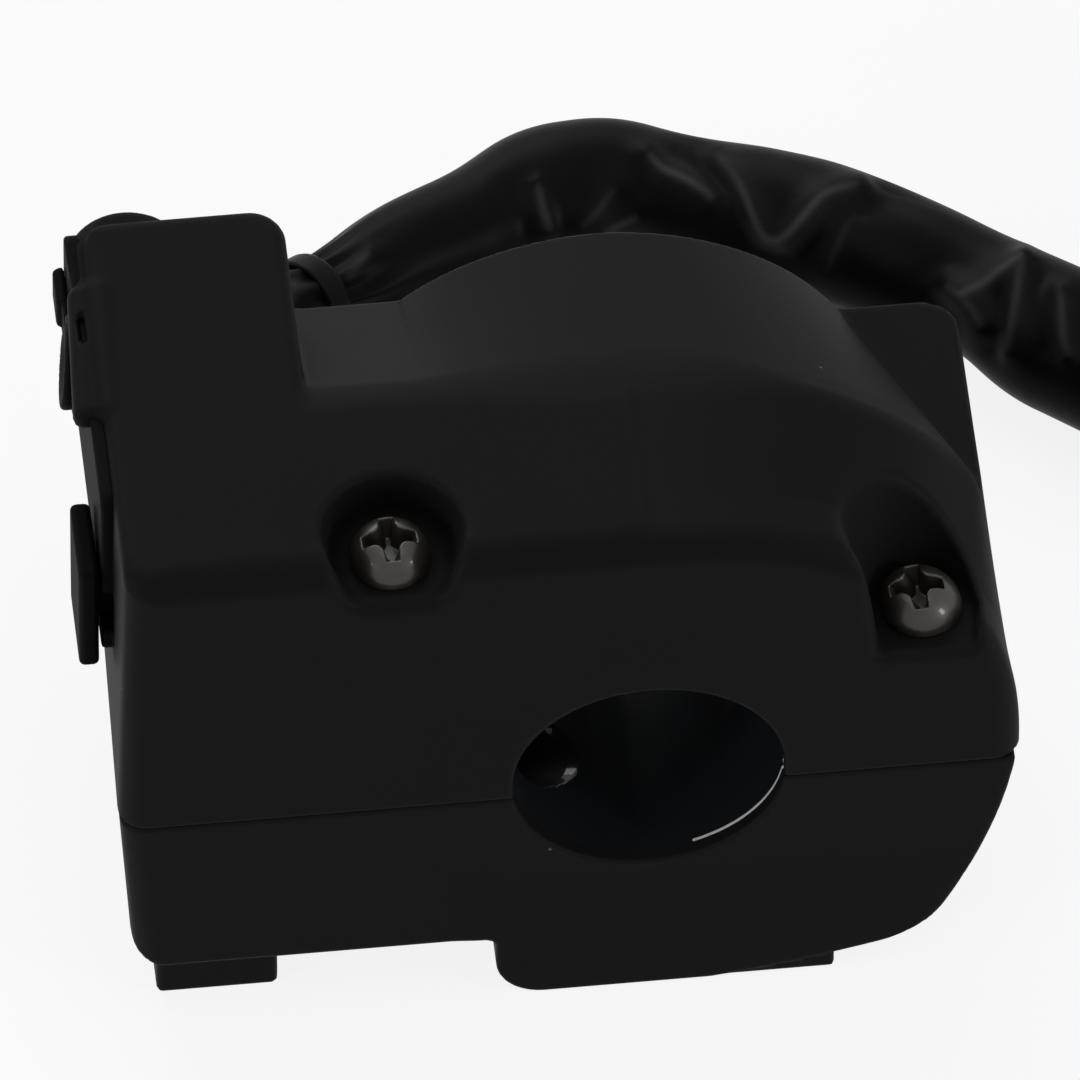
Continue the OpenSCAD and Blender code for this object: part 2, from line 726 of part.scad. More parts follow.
module turn_slider() {
  color([0.86, 0.84, 0.76]) difference() {
    union() {
      block(
        [slider_front, turn_y - turn_block[0] / 2, turn_z - turn_block[1] / 2],
        [slider_back, turn_y + turn_block[0] / 2, turn_z + turn_block[1] / 2]
      );
      block(
        [slider_front, turn_y - shield_w / 2, turn_z - shield_h / 2],
        [slider_front + shield_t, turn_y + shield_w / 2, turn_z + shield_h / 2]
      );
    }
    block(
      [slider_front - cut, turn_y - turn_stem[0] / 2 - socket_gap, turn_z - turn_stem[1] / 2 - socket_gap],
      [stem_end + socket_gap, turn_y + turn_stem[0] / 2 + socket_gap, turn_z + turn_stem[1] / 2 + socket_gap]
    );
    translate([ball_x, turn_y, turn_z + turn_block[1] / 2 - ball_depth])
      cylinder(r = ball_r + ball_hole, h = ball_depth + cut);
  }
}

module turn_bridge() {
  color([0.8, 0.62, 0.28])
    block([slider_back, turn_y - 3.6, turn_z - 1.2], [slider_back + bridge_t, turn_y + 3.6, turn_z + 1.2]);
}

module turn_detent_ball() {
  color([0.7, 0.7, 0.72]) translate([ball_x, turn_y, ball_z]) sphere(r = ball_r);
}

module turn_detent_spring() {
  color([0.75, 0.75, 0.74])
    spring(
      [ball_x, turn_y, turn_z + turn_block[1] / 2 - ball_depth + 0.05],
      [ball_x, turn_y, ball_z - ball_r - 0.05], ball_r - 0.35, detent_wire, detent_curls
    );
}

module dimmer_knob() {
  low = [dimmer_y - dimmer_stem[0] / 2 + 0.1, dimmer_z - dimmer_h / 2];
  color([0.09, 0.09, 0.1]) {
    plate_x(bezel_face - knob_out * 0.7, knob_back, low, low + [dimmer_w, dimmer_h], 0.7);
    block(
      [knob_back - 0.1, dimmer_y - dimmer_stem[0] / 2, dimmer_z - dimmer_stem[1] / 2],
      [stem_end, dimmer_y + dimmer_stem[0] / 2, dimmer_z + dimmer_stem[1] / 2]
    );
  }
}

module dimmer_slider() {
  color([0.86, 0.84, 0.76]) difference() {
    block(
      [slider_front, dimmer_y - dimmer_block_w / 2, dimmer_z + dimmer_block_z[0]],
      [slider_back, dimmer_y + dimmer_block_w / 2, dimmer_z + dimmer_block_z[1]]
    );
    block(
      [slider_front - cut, dimmer_y - dimmer_stem[0] / 2 - socket_gap, dimmer_z - dimmer_stem[1] / 2 - socket_gap],
      [stem_end + socket_gap, dimmer_y + dimmer_stem[0] / 2 + socket_gap,
        dimmer_z + dimmer_stem[1] / 2 + socket_gap]
    );
    translate([ball_x, 0, dimmer_z])
      rod_y(small_ball_r + ball_hole, dimmer_y + dimmer_block_w / 2 - small_ball_depth, back_inner + cut);
  }
}

module dimmer_bridge() {
  color([0.8, 0.62, 0.28])
    block(
      [slider_back, dimmer_y - 1.1, dimmer_z - 2.6],
      [slider_back + bridge_t, dimmer_y + 1.1, dimmer_z + 2.6]
    );
}

module dimmer_detent_ball() {
  color([0.7, 0.7, 0.72]) translate([ball_x, small_ball_y, dimmer_z]) sphere(r = small_ball_r);
}

module dimmer_detent_spring() {
  color([0.75, 0.75, 0.74])
    spring(
      [ball_x, dimmer_y + dimmer_block_w / 2 - small_ball_depth + 0.05, dimmer_z],
      [ball_x, small_ball_y - small_ball_r - 0.05, dimmer_z], small_ball_r - 0.25, detent_wire, 2
    );
}

// Wires from the board's rivet tails, down behind the board and out through the grommet
module lead_wires() {
  feeds = [0, 2, 4, 7];
  down_y = [turn_y - 4.5, turn_y + 4.5, horn_y + 3.3, back_inner - 1.5];
  exits = [216, 306, 126, 36];
  spread = wire_bore_r - wire_d / 2 - 0.6;
  color([0.5, 0.12, 0.1]) for (i = [0 : 3]) {
    a = [board_back + tail_len + 0.05, rivets[feeds[i]][0], rivets[feeds[i]][1]];
    m = [board_back + 1.85, down_y[i], 11.8];
    d = [-exit_x + spread * cos(exits[i]), back_inner - 2.3, -exit_z + spread * sin(exits[i])];
    path = concat(
      [a, a + [0.7, 0, -0.4], a + [1, 0, -1.3]],
      [for (t = [0 : 0.125 : 1]) bezier(m, m - [0, 0, 6], d - [0, 8, 0], d, t)],
      [d + [0, 3, 0], [d[0], boot_end - 0.3, d[2]]]
    );
    tube(path, wire_d / 2, 6, [0.8, 0.4, 0.3], [1, 0, 0], [0, 1, 0]);
  }
}

module cable_grommet() {
  color([0.07, 0.07, 0.07]) translate([-exit_x, 0, -exit_z]) difference() {
    union() {
      rod_y(groove_r, back_inner - grommet_flange_t - 0.1, case_len + 0.2);
      rod_y(flange_out_r, back_inner - grommet_flange_t - 0.05, back_inner - 0.05);
      rod_y(flange_out_r, case_len + 0.05, case_len + grommet_flange_t);
      translate([0, case_len + grommet_flange_t, 0]) rotate([-90, 0, 0])
        cylinder(r1 = flange_out_r, r2 = sleeve_r, h = 3.4);
      rod_y(sleeve_r, case_len + grommet_flange_t + 3.3, boot_end);
    }
    rod_y(wire_bore_r, 0, boot_end + cut);
  }
}

module sleeve_tie() {
  inner = neck_r + 0.7;
  along = heading(route, neck_at);
  color([0.06, 0.06, 0.06]) translate(route[neck_at])
    rotate([asin(along[2]), 0, atan2(along[1], along[0]) - 90]) difference() {
      union() {
        rod_y(inner + tie_t, -tie_w / 2, tie_w / 2);
        translate([-tie_head[0] / 2, -tie_w / 2 - 0.2, -inner - tie_head[2]])
          cube([tie_head[0], tie_w + 0.4, tie_head[2]]);
      }
      rod_y(inner, -tie_w / 2 - cut, tie_w / 2 + cut);
    }
}

module harness_sleeve() {
  color([0.04, 0.04, 0.045])
    tube(route, route_r, 10, first = [0, 1, 0], last = loop_tangent(0));
}

// Loop of the length that is put away: one unbroken tube that spirals inwards
module harness_coil() {
  color([0.04, 0.04, 0.045])
    tube(loop_path, sleeve_r, 6, first = loop_tangent(0), last = loop_tangent(loop_last));
}

// Least gap of the loop to itself, from points at least half a turn apart
loop_least = min([
  for (i = [0 : len(loop_path) - 1], j = [0 : len(loop_path) - 1])
    if (j - i > loop_rings / 2) norm(loop_path[i] - loop_path[j]) - sleeve_d
]);
echo(loop_least_gap = loop_least);

module coil_tie() {
  inner = sleeve_r + 0.1;
  half = loop_step / 2 + 0.35;
  place = (loop_point(tie_at) + loop_point(tie_at + 360)) / 2;
  color([0.06, 0.06, 0.06]) translate(place) rotate([90, 0, loop_start + tie_at])
    linear_extrude(tie_w, center = true) difference() {
      union() {
        translate([-half, 0]) circle(inner + coil_tie_t);
        translate([half, 0]) circle(inner + coil_tie_t);
        square([2 * half, 2 * (inner + coil_tie_t)], center = true);
      }
      translate([-half, 0]) circle(inner);
      translate([half, 0]) circle(inner);
      square([2 * half, 2 * inner], center = true);
    }
}

// Plug frame: local X across, local Y along towards the mating face, local Z up
module in_plug() translate(plug_place) rotate([0, 0, plug_turn - 90]) children();
function from_plug(p) =
  let (a = plug_turn - 90)
  plug_place + [p[0] * cos(a) - p[1] * sin(a), p[0] * sin(a) + p[1] * cos(a), p[2]];

module connector_wires() {
  a = loop_point(loop_last);
  t = loop_tangent(loop_last);
  side = cross(t, [0, 0, 1]);
  out = from_plug([0, 1, 0]) - from_plug([0, 0, 0]);
  color([0.75, 0.6, 0.1]) for (c = plug_cells) {
    start = a + t * 0.05 + side * c[0] * 0.62 + [0, 0, c[1] * 0.75];
    end = from_plug([c[0], -plug_len / 2 + 1, c[1]]);
    tube(
      concat([for (k = [0 : 0.125 : 1]) bezier(start, start + t * 7, end - out * 8, end - out * 1.5, k)], [end]),
      wire_d / 2, 6, [0, 0, 1], t, out
    );
  }
}

module connector_shell() {
  color([0.9, 0.89, 0.84]) in_plug() difference() {
    union() {
      block([-plug_w / 2, -plug_len / 2, -plug_h / 2], [plug_w / 2, plug_len / 2, plug_h / 2 - latch_h]);
      // Latch arm along the top
      block([-3, -plug_len / 2 + 4, plug_h / 2 - latch_h - 0.1], [3, plug_len / 2 - 3, plug_h / 2]);
    }
    block(
      [-plug_w / 2 + plug_wall, plug_len / 2 - 9, -plug_h / 2 + plug_wall],
      [plug_w / 2 - plug_wall, plug_len / 2 + cut, plug_h / 2 - latch_h - plug_wall]
    );
    for (c = plug_cells)
      translate([c[0], 0, c[1]]) rod_y(wire_d / 2 + 0.25, -plug_len / 2 - cut, plug_len / 2);
  }
}

module connector_terminals() {
  color([0.8, 0.62, 0.28]) in_plug() for (c = plug_cells)
    translate([c[0], 0, c[1]]) {
      rod_y(wire_d / 2, -plug_len / 2 + 2, plug_len / 2 - 8);
      block(
        [-pin_size[2] / 2, plug_len / 2 - 8.2, -pin_size[0] / 2],
        [pin_size[2] / 2, plug_len / 2 - 8 + pin_size[1], pin_size[0] / 2]
      );
    }
}

upper_shell();
lower_shell();
long_case_screw();
short_case_screw();
screw_inserts();
switch_bezel();
contact_board();
board_contacts();
board_screws();
horn_button();
horn_contact();
horn_spring();
turn_knob();
turn_slider();
turn_bridge();
turn_detent_ball();
turn_detent_spring();
dimmer_knob();
dimmer_slider();
dimmer_bridge();
dimmer_detent_ball();
dimmer_detent_spring();
lead_wires();
cable_grommet();
sleeve_tie();
harness_sleeve();
harness_coil();
coil_tie();
connector_wires();
connector_shell();
connector_terminals();
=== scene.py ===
"""Looks of a handlebar switch cluster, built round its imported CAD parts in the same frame, in metres.

Moulded pieces are level surfaces: a field gives each point's distance to the piece in millimetres,
and the surface is where the field is zero. The harness is a profile carried along its route.
"""

from types import SimpleNamespace

import bpy
import numpy as np
from mathutils import Matrix


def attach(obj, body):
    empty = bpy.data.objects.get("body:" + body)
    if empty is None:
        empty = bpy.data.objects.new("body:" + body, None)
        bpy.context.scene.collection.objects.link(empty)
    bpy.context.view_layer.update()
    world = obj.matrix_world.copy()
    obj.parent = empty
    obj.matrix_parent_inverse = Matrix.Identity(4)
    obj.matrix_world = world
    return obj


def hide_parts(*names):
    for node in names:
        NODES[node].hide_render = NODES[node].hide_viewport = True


bl_info = {
    "name": "Handlebar switch cluster",
    "version": (1, 0, 0),
    "blender": (4, 5, 0),
    "location": "View3D > Sidebar > Switch cluster",
    "description": "Builds the looks of a handlebar switch cluster round its CAD parts",
    "category": "Object",
}

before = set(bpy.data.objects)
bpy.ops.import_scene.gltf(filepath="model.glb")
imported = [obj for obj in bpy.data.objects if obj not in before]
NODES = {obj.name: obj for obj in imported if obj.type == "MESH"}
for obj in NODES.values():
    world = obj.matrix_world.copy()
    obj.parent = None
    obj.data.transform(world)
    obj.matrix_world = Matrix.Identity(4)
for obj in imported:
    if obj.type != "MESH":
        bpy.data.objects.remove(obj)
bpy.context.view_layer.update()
MM = 0.001
UP = np.array([0.0, 0.0, 1.0])

# Photograph: pixels of the bar axis at the front face, and pixels for a millimetre along X, Y and Z
PHOTO_SIZE = 1080
PHOTO_ORIGIN = np.array([649.0, 777.0])
PHOTO_ACROSS = np.array([12.23, -1.285, 0.0])
PHOTO_RISE = np.array([1.013, 9.64, 7.573])

# Camera: distance and far clip in metres, width of the sensor and lens length for a unit of field in mm
CAMERA_DISTANCE = 4.0
CAMERA_CLIP = 30.0
SENSOR_WIDTH = 36.0
LENS_FACTOR = 36.1

# Places in mm that several pieces share: the horn button's axis from the back and the top, the
# floors of the screw pockets, the screws' heads and shanks, and the cable's exit at X and Z
HORN_BACK = 10.3
HORN_DOWN = 5.4
LEFT_POCKET_DEPTH = 4.7
RIGHT_POCKET_FLOOR = 12.9
HEAD_HEIGHT = 3.2
SHANK_DEPTH = 10
EXIT_X = -30
EXIT_Z = -10

# Finishes: textures' scales for a metre, and depth of the moulded grain in metres
GRAIN_SCALE = 5200.0
WAVE_SCALE = 90.0
GRAIN_DEPTH = 0.00003
TARNISH_SCALE = 900.0

# Harness route in mm, as in the part's source
ROUTE = np.array([
    [-30, 46, -10], [-29.6, 50.2, -10.4], [-28.6, 54.2, -11.2], [-26.8, 58, -12.3], [-24.4, 61.2, -13.8],
    [-21.4, 64, -15.4], [-18, 66.6, -16.6], [-14.2, 69, -17.5], [-6.4, 73.2, -19.4], [-0.6, 76, -20.6],
    [6, 77.4, -20.8], [11, 76.8, -20.8], [16, 75, -20.8], [20, 72.6, -20.8], [24.5, 70, -20.8],
    [29, 67, -20.8], [34, 63.2, -20.8], [39, 59, -20.8], [45.5, 53.2, -20.8], [52, 47.4, -20.8],
    [58.5, 41.6, -20.8], [65, 35.8, -20.8], [71.5, 30, -20.8],
])
ROUTE_RADIUS = np.array([
    5.2, 5.1, 5.0, 4.7, 4.0, 2.95, 3.7, 4.4, 5.0, 6.0, 5.3, 5.1,
    5.5, 5.8, 5.7, 5.5, 5.0, 6.1, 6.2, 5.6, 5.4, 5.4, 5.4,
])
# Slack of the sleeve along Y in mm, at the points of the route
ROUTE_SLACK = np.array([
    0, 0, 0, 0, 0, 0, -0.6, 0.1, 0.1, 0.9, 0.7, -1.3,
    -1.3, -0.5, -0.4, -0.2, 0.4, -0.4, 0.6, 0.3, 0.3, 0.2, 0,
])
NECK = 5
LOOP_RADIUS = 63.0
LOOP_STEP = 12.0
LOOP_HEADING = -39.7
LOOP_END = 375.0
# Length of the harness in mm that the photograph shows
SHOWN_LENGTH = 118.0

# Folds of the sleeve: points in the photograph, height in mm (below zero for a valley), half width in mm
FOLDS = [
    ([(537, 180), (541, 201), (547, 228)], 0.5, 0.9),
    ([(521, 182), (525, 209), (528, 236)], -0.5, 2.0),
    ([(649, 151), (663, 165), (682, 173), (703, 184), (717, 195)], 0.65, 1.25),
    ([(680, 146), (706, 162), (724, 182)], -0.45, 1.6),
    ([(579, 223), (598, 204), (616, 182)], 0.3, 1.2),
    ([(601, 226), (620, 218), (640, 210)], 0.5, 1.4),
    ([(716, 150), (729, 178), (741, 208), (750, 234), (762, 250)], -1.0, 1.7),
    ([(718, 146), (732, 163), (744, 184), (753, 206), (760, 222), (770, 234), (780, 236), (792, 229),
      (810, 211), (826, 194), (842, 186), (864, 180)], 0.85, 1.3),
    ([(790, 254), (812, 240), (834, 216), (852, 200)], -0.6, 1.8),
    ([(830, 269), (840, 243), (850, 218)], 0.2, 1.2),
    ([(884, 196), (897, 226), (922, 262)], -0.7, 3.0),
    ([(951, 281), (968, 291), (984, 285), (1003, 272), (1027, 259)], 0.7, 1.3),
    ([(966, 289), (978, 304), (988, 325)], 0.6, 1.4),
    ([(1000, 296), (1001, 318), (998, 346)], -0.5, 1.2),
    ([(1027, 260), (1022, 288), (1018, 317), (1013, 350)], 0.5, 1.0),
    ([(1044, 280), (1045, 312), (1046, 346)], -0.4, 1.2),
    ([(1066, 290), (1067, 320), (1070, 345), (1074, 356)], 0.45, 0.9),
    ([(1087, 300), (1090, 345)], -0.4, 1.2),
    ([(342, 278), (368, 250)], 0.3, 0.9),
]


def mm(name, description, value):
    """Length property with its default given in millimetres."""
    return bpy.props.FloatProperty(
        name=name, description=description, default=value * MM, precision=5,
        unit="LENGTH", subtype="DISTANCE",
    )


def shade(name, description, value):
    """Colour property with a linear default."""
    return bpy.props.FloatVectorProperty(
        name=name, description=description, default=value, size=3, min=0.0, max=1.0, subtype="COLOR"
    )


class ClusterSizes(bpy.types.PropertyGroup):
    """Sizes of the case, its controls and the harness."""

    bore: mm("Bore radius", "Radius of the bar bore", 11.1)
    length: mm("Case length", "Length of the case along the bar", 38.3)
    face: mm("Control face", "Distance from the bar axis to the control face", 43.2)
    top: mm("Top height", "Height of the flat top, and radius of the shoulder", 29.7)
    shoulder: mm("Shoulder centre", "Distance from the bar axis to the shoulder's centre", 0.5)
    parting: mm("Parting depth", "Depth of the shells' parting plane below the bar axis", 1.5)
    foot: mm("Resting depth", "Depth of the resting plane below the bar axis", 27.0)
    bay: mm("Bay depth", "Depth of the lower shell's left bay", 19.8)
    belly: mm("Belly width", "Half width of the lower shell on the right", 29.9)
    block: mm("Block end", "Distance from the bar axis to the middle block's left end", 12.5)
    wall: mm("Wall", "Wall thickness of the case", 2.4)
    crease: mm("Crease", "Distance from the front face to the crease of the top", 19.0)
    barrel: mm("Barrel radius", "Radius of the barrel at the back", 23.3)
    ledge: mm("Ledge height", "Height of the ledge at the back", 16.5)
    notch: mm("Notch wall", "Distance from the bar axis to the left block's inner wall", 26.0)
    flange: mm("Shelf height", "Height of the shelf beside the barrel", 10.5)
    head: mm("Screw head", "Radius of a case screw's head", 3.45)
    sleeve: mm("Sleeve radius", "Radius of the harness sleeve", 5.5)
    cell: mm("Case detail", "Grid step of the case's surface", 0.475)


class ClusterColours(bpy.types.PropertyGroup):
    """Colours of the finishes."""

    case: shade("Case plastic", "Black moulded plastic", (0.0066, 0.0066, 0.0068))
    knob: shade("Knob plastic", "Black plastic of the controls", (0.0045, 0.0045, 0.0047))
    screw: shade("Screw steel", "Dark passivated steel", (0.0135, 0.0117, 0.0083))
    vinyl: shade("Sleeve vinyl", "Soft black vinyl", (0.0028, 0.0028, 0.003))
    rubber: shade("Rubber", "Black rubber", (0.003, 0.003, 0.003))
    brass: shade("Brass", "Bare brass", (0.60, 0.42, 0.14))
    nylon: shade("Natural nylon", "Undyed nylon", (0.72, 0.69, 0.60))
    board: shade("Board", "Brown laminate", (0.22, 0.11, 0.045))
    zinc: shade("Zinc", "Bright plated steel", (0.55, 0.55, 0.54))


def sizes():
    """All sizes in millimetres."""
    group = bpy.context.scene.cluster_sizes
    return SimpleNamespace(**{key: getattr(group, key) / MM for key in ClusterSizes.__annotations__})


def colour(key):
    """One colour with full alpha."""
    return (*getattr(bpy.context.scene.cluster_colours, key), 1.0)


# Fields: distances in mm, below zero inside


def both(a, b, r):
    """Overlap of two fields with its outer edge rounded to radius r."""
    return np.minimum(np.maximum(a, b), -r) + np.hypot(np.maximum(r + a, 0), np.maximum(r + b, 0))


def either(a, b, r):
    """Union of two fields with its inner edge filled to radius r."""
    return np.maximum(np.minimum(a, b), r) - np.hypot(np.maximum(r - a, 0), np.maximum(r - b, 0))


def brick(x, y, z, low, high, r=0.0):
    """Box between two corners with edges rounded to radius r."""
    half = [(b - a) / 2 - r for a, b in zip(low, high)]
    q = [np.abs(p - (a + b) / 2) - h for p, a, b, h in zip((x, y, z), low, high, half)]
    outside = np.sqrt(sum(np.maximum(k, 0) ** 2 for k in q))
    return outside + np.minimum(np.maximum(np.maximum(q[0], q[1]), q[2]), 0) - r


def rod(a, b, along, r, low, high, edge=0.0):
    """Cylinder of radius r round the line a = b = 0, between two planes, with its rims rounded."""
    ends = np.maximum(low - along, along - high)
    return both(np.hypot(a, b) - r, ends, edge)


def field_slope(field, points, step):
    """Value and gradient of a field at points, by central differences of that step."""
    x, y, z = points.T
    slope = np.stack([
        field(x + step, y, z) - field(x - step, y, z),
        field(x, y + step, z) - field(x, y - step, z),
        field(x, y, z + step) - field(x, y, z - step),
    ], axis=1) / (2 * step)
    return field(x, y, z), slope


def bulge(field, points, step):
    """Curvature of the surface at points: the field's Laplacian, above zero on outer edges."""
    x, y, z = points.T
    total = (
        field(x + step, y, z) + field(x - step, y, z) + field(x, y + step, z) + field(x, y - step, z)
        + field(x, y, z + step) + field(x, y, z - step) - 6 * field(x, y, z)
    )
    return total / step**2


def level_surface(field, low, high, cell, front=None):
    """Quads of the surface where a field is zero.

    Each grid cell that the surface crosses gets one point, first the mean of the crossings on the
    cell's edges, then moved down the field's gradient to the surface. Each grid edge that the surface
    crosses joins the points of the four cells round it. Where front is given, the steps along Y are
    a third as long up to there.
    """
    axes = [np.arange(a - 1.5 * cell, b + 2.5 * cell, cell) for a, b in zip(low, high)]
    if front is not None:
        close = np.arange(low[1] - 0.5 * cell, front, cell / 3)
        axes[1] = np.concatenate([close, np.arange(front, high[1] + 2.5 * cell, cell)])

    def spot(index):
        parts = [np.interp(index[:, k], np.arange(len(axis)), axis) for k, axis in enumerate(axes)]
        return np.stack(parts, axis=1)

    value = field(*np.meshgrid(*axes, indexing="ij"))
    inside = value < 0
    nx, ny, nz = (n - 1 for n in value.shape)
    corners = [(i, j, k) for i in (0, 1) for j in (0, 1) for k in (0, 1)]
    count = sum(inside[i:nx + i, j:ny + j, k:nz + k].astype(np.int8) for i, j, k in corners)
    active = (count > 0) & (count < 8)
    cells = np.argwhere(active)
    number = np.full(active.shape, -1, np.int64)
    number[active] = np.arange(len(cells))
    total = np.zeros((len(cells), 3))
    hits = np.zeros(len(cells))
    for axis in range(3):
        step = np.eye(3, dtype=int)[axis]
        for i, j, k in corners:
            if (i, j, k)[axis]:
                continue
            start = cells + np.array([i, j, k])
            a = value[tuple(start.T)]
            b = value[tuple((start + step).T)]
            crossed = (a < 0) != (b < 0)
            share = np.where(crossed, a / np.where(crossed, a - b, 1.0), 0.0)
            total += np.where(crossed[:, None], start + share[:, None] * step, 0.0)
            hits += crossed
    points = spot(total / hits[:, None])
    middle = spot(cells + 0.5)
    reach = 0.7 * (spot(cells + 1) - spot(cells))
    for _ in range(4):
        away, slope = field_slope(field, points, 0.02)
        points = points - slope * (away / np.maximum((slope**2).sum(1), 0.1))[:, None]
        points = np.clip(points, middle - reach, middle + reach)
    _, normal = field_slope(field, points, 0.03)
    normal /= np.maximum(np.linalg.norm(normal, axis=1), 1e-9)[:, None]
    quads = []
    for axis in range(3):
        step = np.eye(3, dtype=int)[axis]
        first, second = np.eye(3, dtype=int)[(axis + 1) % 3], np.eye(3, dtype=int)[(axis + 2) % 3]
        size = np.array(value.shape) - step
        here = inside[:size[0], :size[1], :size[2]]
        there = inside[step[0]:, step[1]:, step[2]:]
        at = np.argwhere(here != there)
        ring = [number[tuple((at - d).T)] for d in (first + second, second, 0 * first, first)]
        ring = np.stack(ring, axis=1)
        leaving = here[tuple(at.T)]
        quads.append(np.where(leaving[:, None], ring, ring[:, ::-1]))
    return points, np.concatenate(quads), normal


def add_mesh(name, points, faces, edge, normal=None):
    """New piece from points in mm with the attribute edge; its object sits at the origin."""
    mesh = bpy.data.meshes.new(name)
    mesh.from_pydata((points * MM).tolist(), [], faces)
    mesh.polygons.foreach_set("use_smooth", np.ones(len(mesh.polygons), bool))
    mesh.update()
    if normal is not None:
        mesh.normals_split_custom_set_from_vertices(normal.tolist())
    mesh.attributes.new("edge", "FLOAT", "POINT").data.foreach_set("value", edge.astype(np.float32))
    piece = bpy.data.objects.new(name, mesh)
    bpy.context.scene.collection.objects.link(piece)
    return piece


def add_level_piece(name, field, low, high, cell, wear=0.45, front=None):
    """Piece from a field, with the attribute edge from 0 on flats to 1 on sharp outer edges."""
    points, faces, normal = level_surface(field, low, high, cell, front)
    edge = np.clip(bulge(field, points, wear) * wear, 0, 1)
    return add_mesh(name, points, faces.tolist(), edge, normal)


def dress(piece, body, slot, material, *nodes):
    """A piece's body and material, and the CAD nodes that it stands for; its slot is not used."""
    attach(piece, body)
    piece.data.materials.clear()
    piece.data.materials.append(material)
    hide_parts(*nodes)
    return piece


def grid_faces(rows, columns):
    """Quads of a grid that closes on itself across its columns."""
    i = np.arange(rows - 1)[:, None] * columns
    k = np.arange(columns)[None, :]
    n = (k + 1) % columns
    return np.stack([i + k, i + n, i + columns + n, i + columns + k], axis=-1).reshape(-1, 4)


def path_frame(path):
    """Length along a path, and its level side and rise at each point."""
    gaps = np.linalg.norm(np.diff(path, axis=0), axis=1)
    along = np.concatenate([[0], np.cumsum(gaps)])
    tangent = np.gradient(path, along, axis=0)
    tangent /= np.linalg.norm(tangent, axis=1)[:, None]
    side = np.cross(tangent, UP)
    side /= np.linalg.norm(side, axis=1)[:, None]
    return along, side, np.cross(side, tangent)


def smooth_path(points, spacing):
    """Cubic curve through points, each tangent along its neighbours' chord, sampled at even steps."""
    chord = np.linalg.norm(np.diff(points, axis=0), axis=1)
    knot = np.concatenate([[0], np.cumsum(chord)])
    tangent = np.gradient(points, knot, axis=0)
    t = np.linspace(0, knot[-1], int(knot[-1] / spacing) + 1)
    i = np.clip(np.searchsorted(knot, t, side="right") - 1, 0, len(points) - 2)
    w = chord[i]
    u = ((t - knot[i]) / w)[:, None]
    w = w[:, None]
    return (
        (2 * u**3 - 3 * u**2 + 1) * points[i] + (u**3 - 2 * u**2 + u) * w * tangent[i]
        + (3 * u**2 - 2 * u**3) * points[i + 1] + (u**3 - u**2) * w * tangent[i + 1]
    )


# Finishes


def node_group(name, inputs, outputs):
    """Empty shader group with float sockets; returns it with its input and output nodes."""
    group = bpy.data.node_groups.new(name, "ShaderNodeTree")
    for key, value in inputs.items():
        socket = group.interface.new_socket(key, in_out="INPUT", socket_type="NodeSocketFloat")
        socket.default_value = value
    for key in outputs:
        group.interface.new_socket(key, in_out="OUTPUT", socket_type="NodeSocketFloat")
    return group, group.nodes.new("NodeGroupInput"), group.nodes.new("NodeGroupOutput")


def maths(tree, operation, a, b=None, c=None):
    """Math node of values or sockets; returns its output."""
    node = tree.nodes.new("ShaderNodeMath")
    node.operation = operation
    for socket, value in zip(node.inputs, (a, b, c)):
        if value is None:
            continue
        if isinstance(value, (int, float)):
            socket.default_value = value
        else:
            tree.links.new(value, socket)
    return node.outputs[0]


def noise(tree, place, scale, detail=2.0, rough=0.5):
    """Noise value at a place; scale is a value or a socket."""
    node = tree.nodes.new("ShaderNodeTexNoise")
    node.inputs["Detail"].default_value = detail
    node.inputs["Roughness"].default_value = rough
    tree.links.new(place, node.inputs["Vector"])
    if isinstance(scale, (int, float)):
        node.inputs["Scale"].default_value = scale
    else:
        tree.links.new(scale, node.inputs["Scale"])
    return node.outputs["Fac"]


def grain_group():
    """Moulded grain: fine spark texture, slow waves of shrinkage and a gloss that varies with both."""
    group, start, end = node_group(
        "moulded_grain", {"Grain scale": GRAIN_SCALE, "Wave scale": WAVE_SCALE},
        ["Height", "Gloss", "Cloud"],
    )
    place = group.nodes.new("ShaderNodeTexCoord").outputs["Object"]
    fine = noise(group, place, start.outputs["Grain scale"], 3.0, 0.6)
    wave = noise(group, place, start.outputs["Wave scale"], 2.0, 0.5)
    height = maths(group, "MULTIPLY_ADD", fine, 0.6, maths(group, "MULTIPLY", wave, 0.4))
    group.links.new(height, end.inputs["Height"])
    group.links.new(fine, end.inputs["Gloss"])
    group.links.new(wave, end.inputs["Cloud"])
    return group


def wear_group():
    """Wear of outer edges: the piece's edge attribute broken up by noise; specks are stray dust."""
    group, start, end = node_group("edge_wear", {"Amount": 0.5, "Specks": 0.5}, ["Wear", "Dust"])
    place = group.nodes.new("ShaderNodeTexCoord").outputs["Object"]
    edge = group.nodes.new("ShaderNodeAttribute")
    edge.attribute_name = "edge"
    broken = noise(group, place, 700.0, 4.0, 0.65)
    patchy = maths(group, "MULTIPLY", broken, start.outputs["Amount"])
    worn = maths(group, "MULTIPLY", edge.outputs["Fac"], patchy)
    group.links.new(worn, end.inputs["Wear"])
    cells = group.nodes.new("ShaderNodeTexVoronoi")
    cells.inputs["Scale"].default_value = 190.0
    group.links.new(place, cells.inputs["Vector"])
    near = maths(group, "LESS_THAN", cells.outputs["Distance"], 0.035)
    rare = maths(group, "GREATER_THAN", noise(group, place, 60.0, 1.0), 0.6)
    dust = maths(group, "MULTIPLY", maths(group, "MULTIPLY", near, rare), start.outputs["Specks"])
    group.links.new(dust, end.inputs["Dust"])
    return group


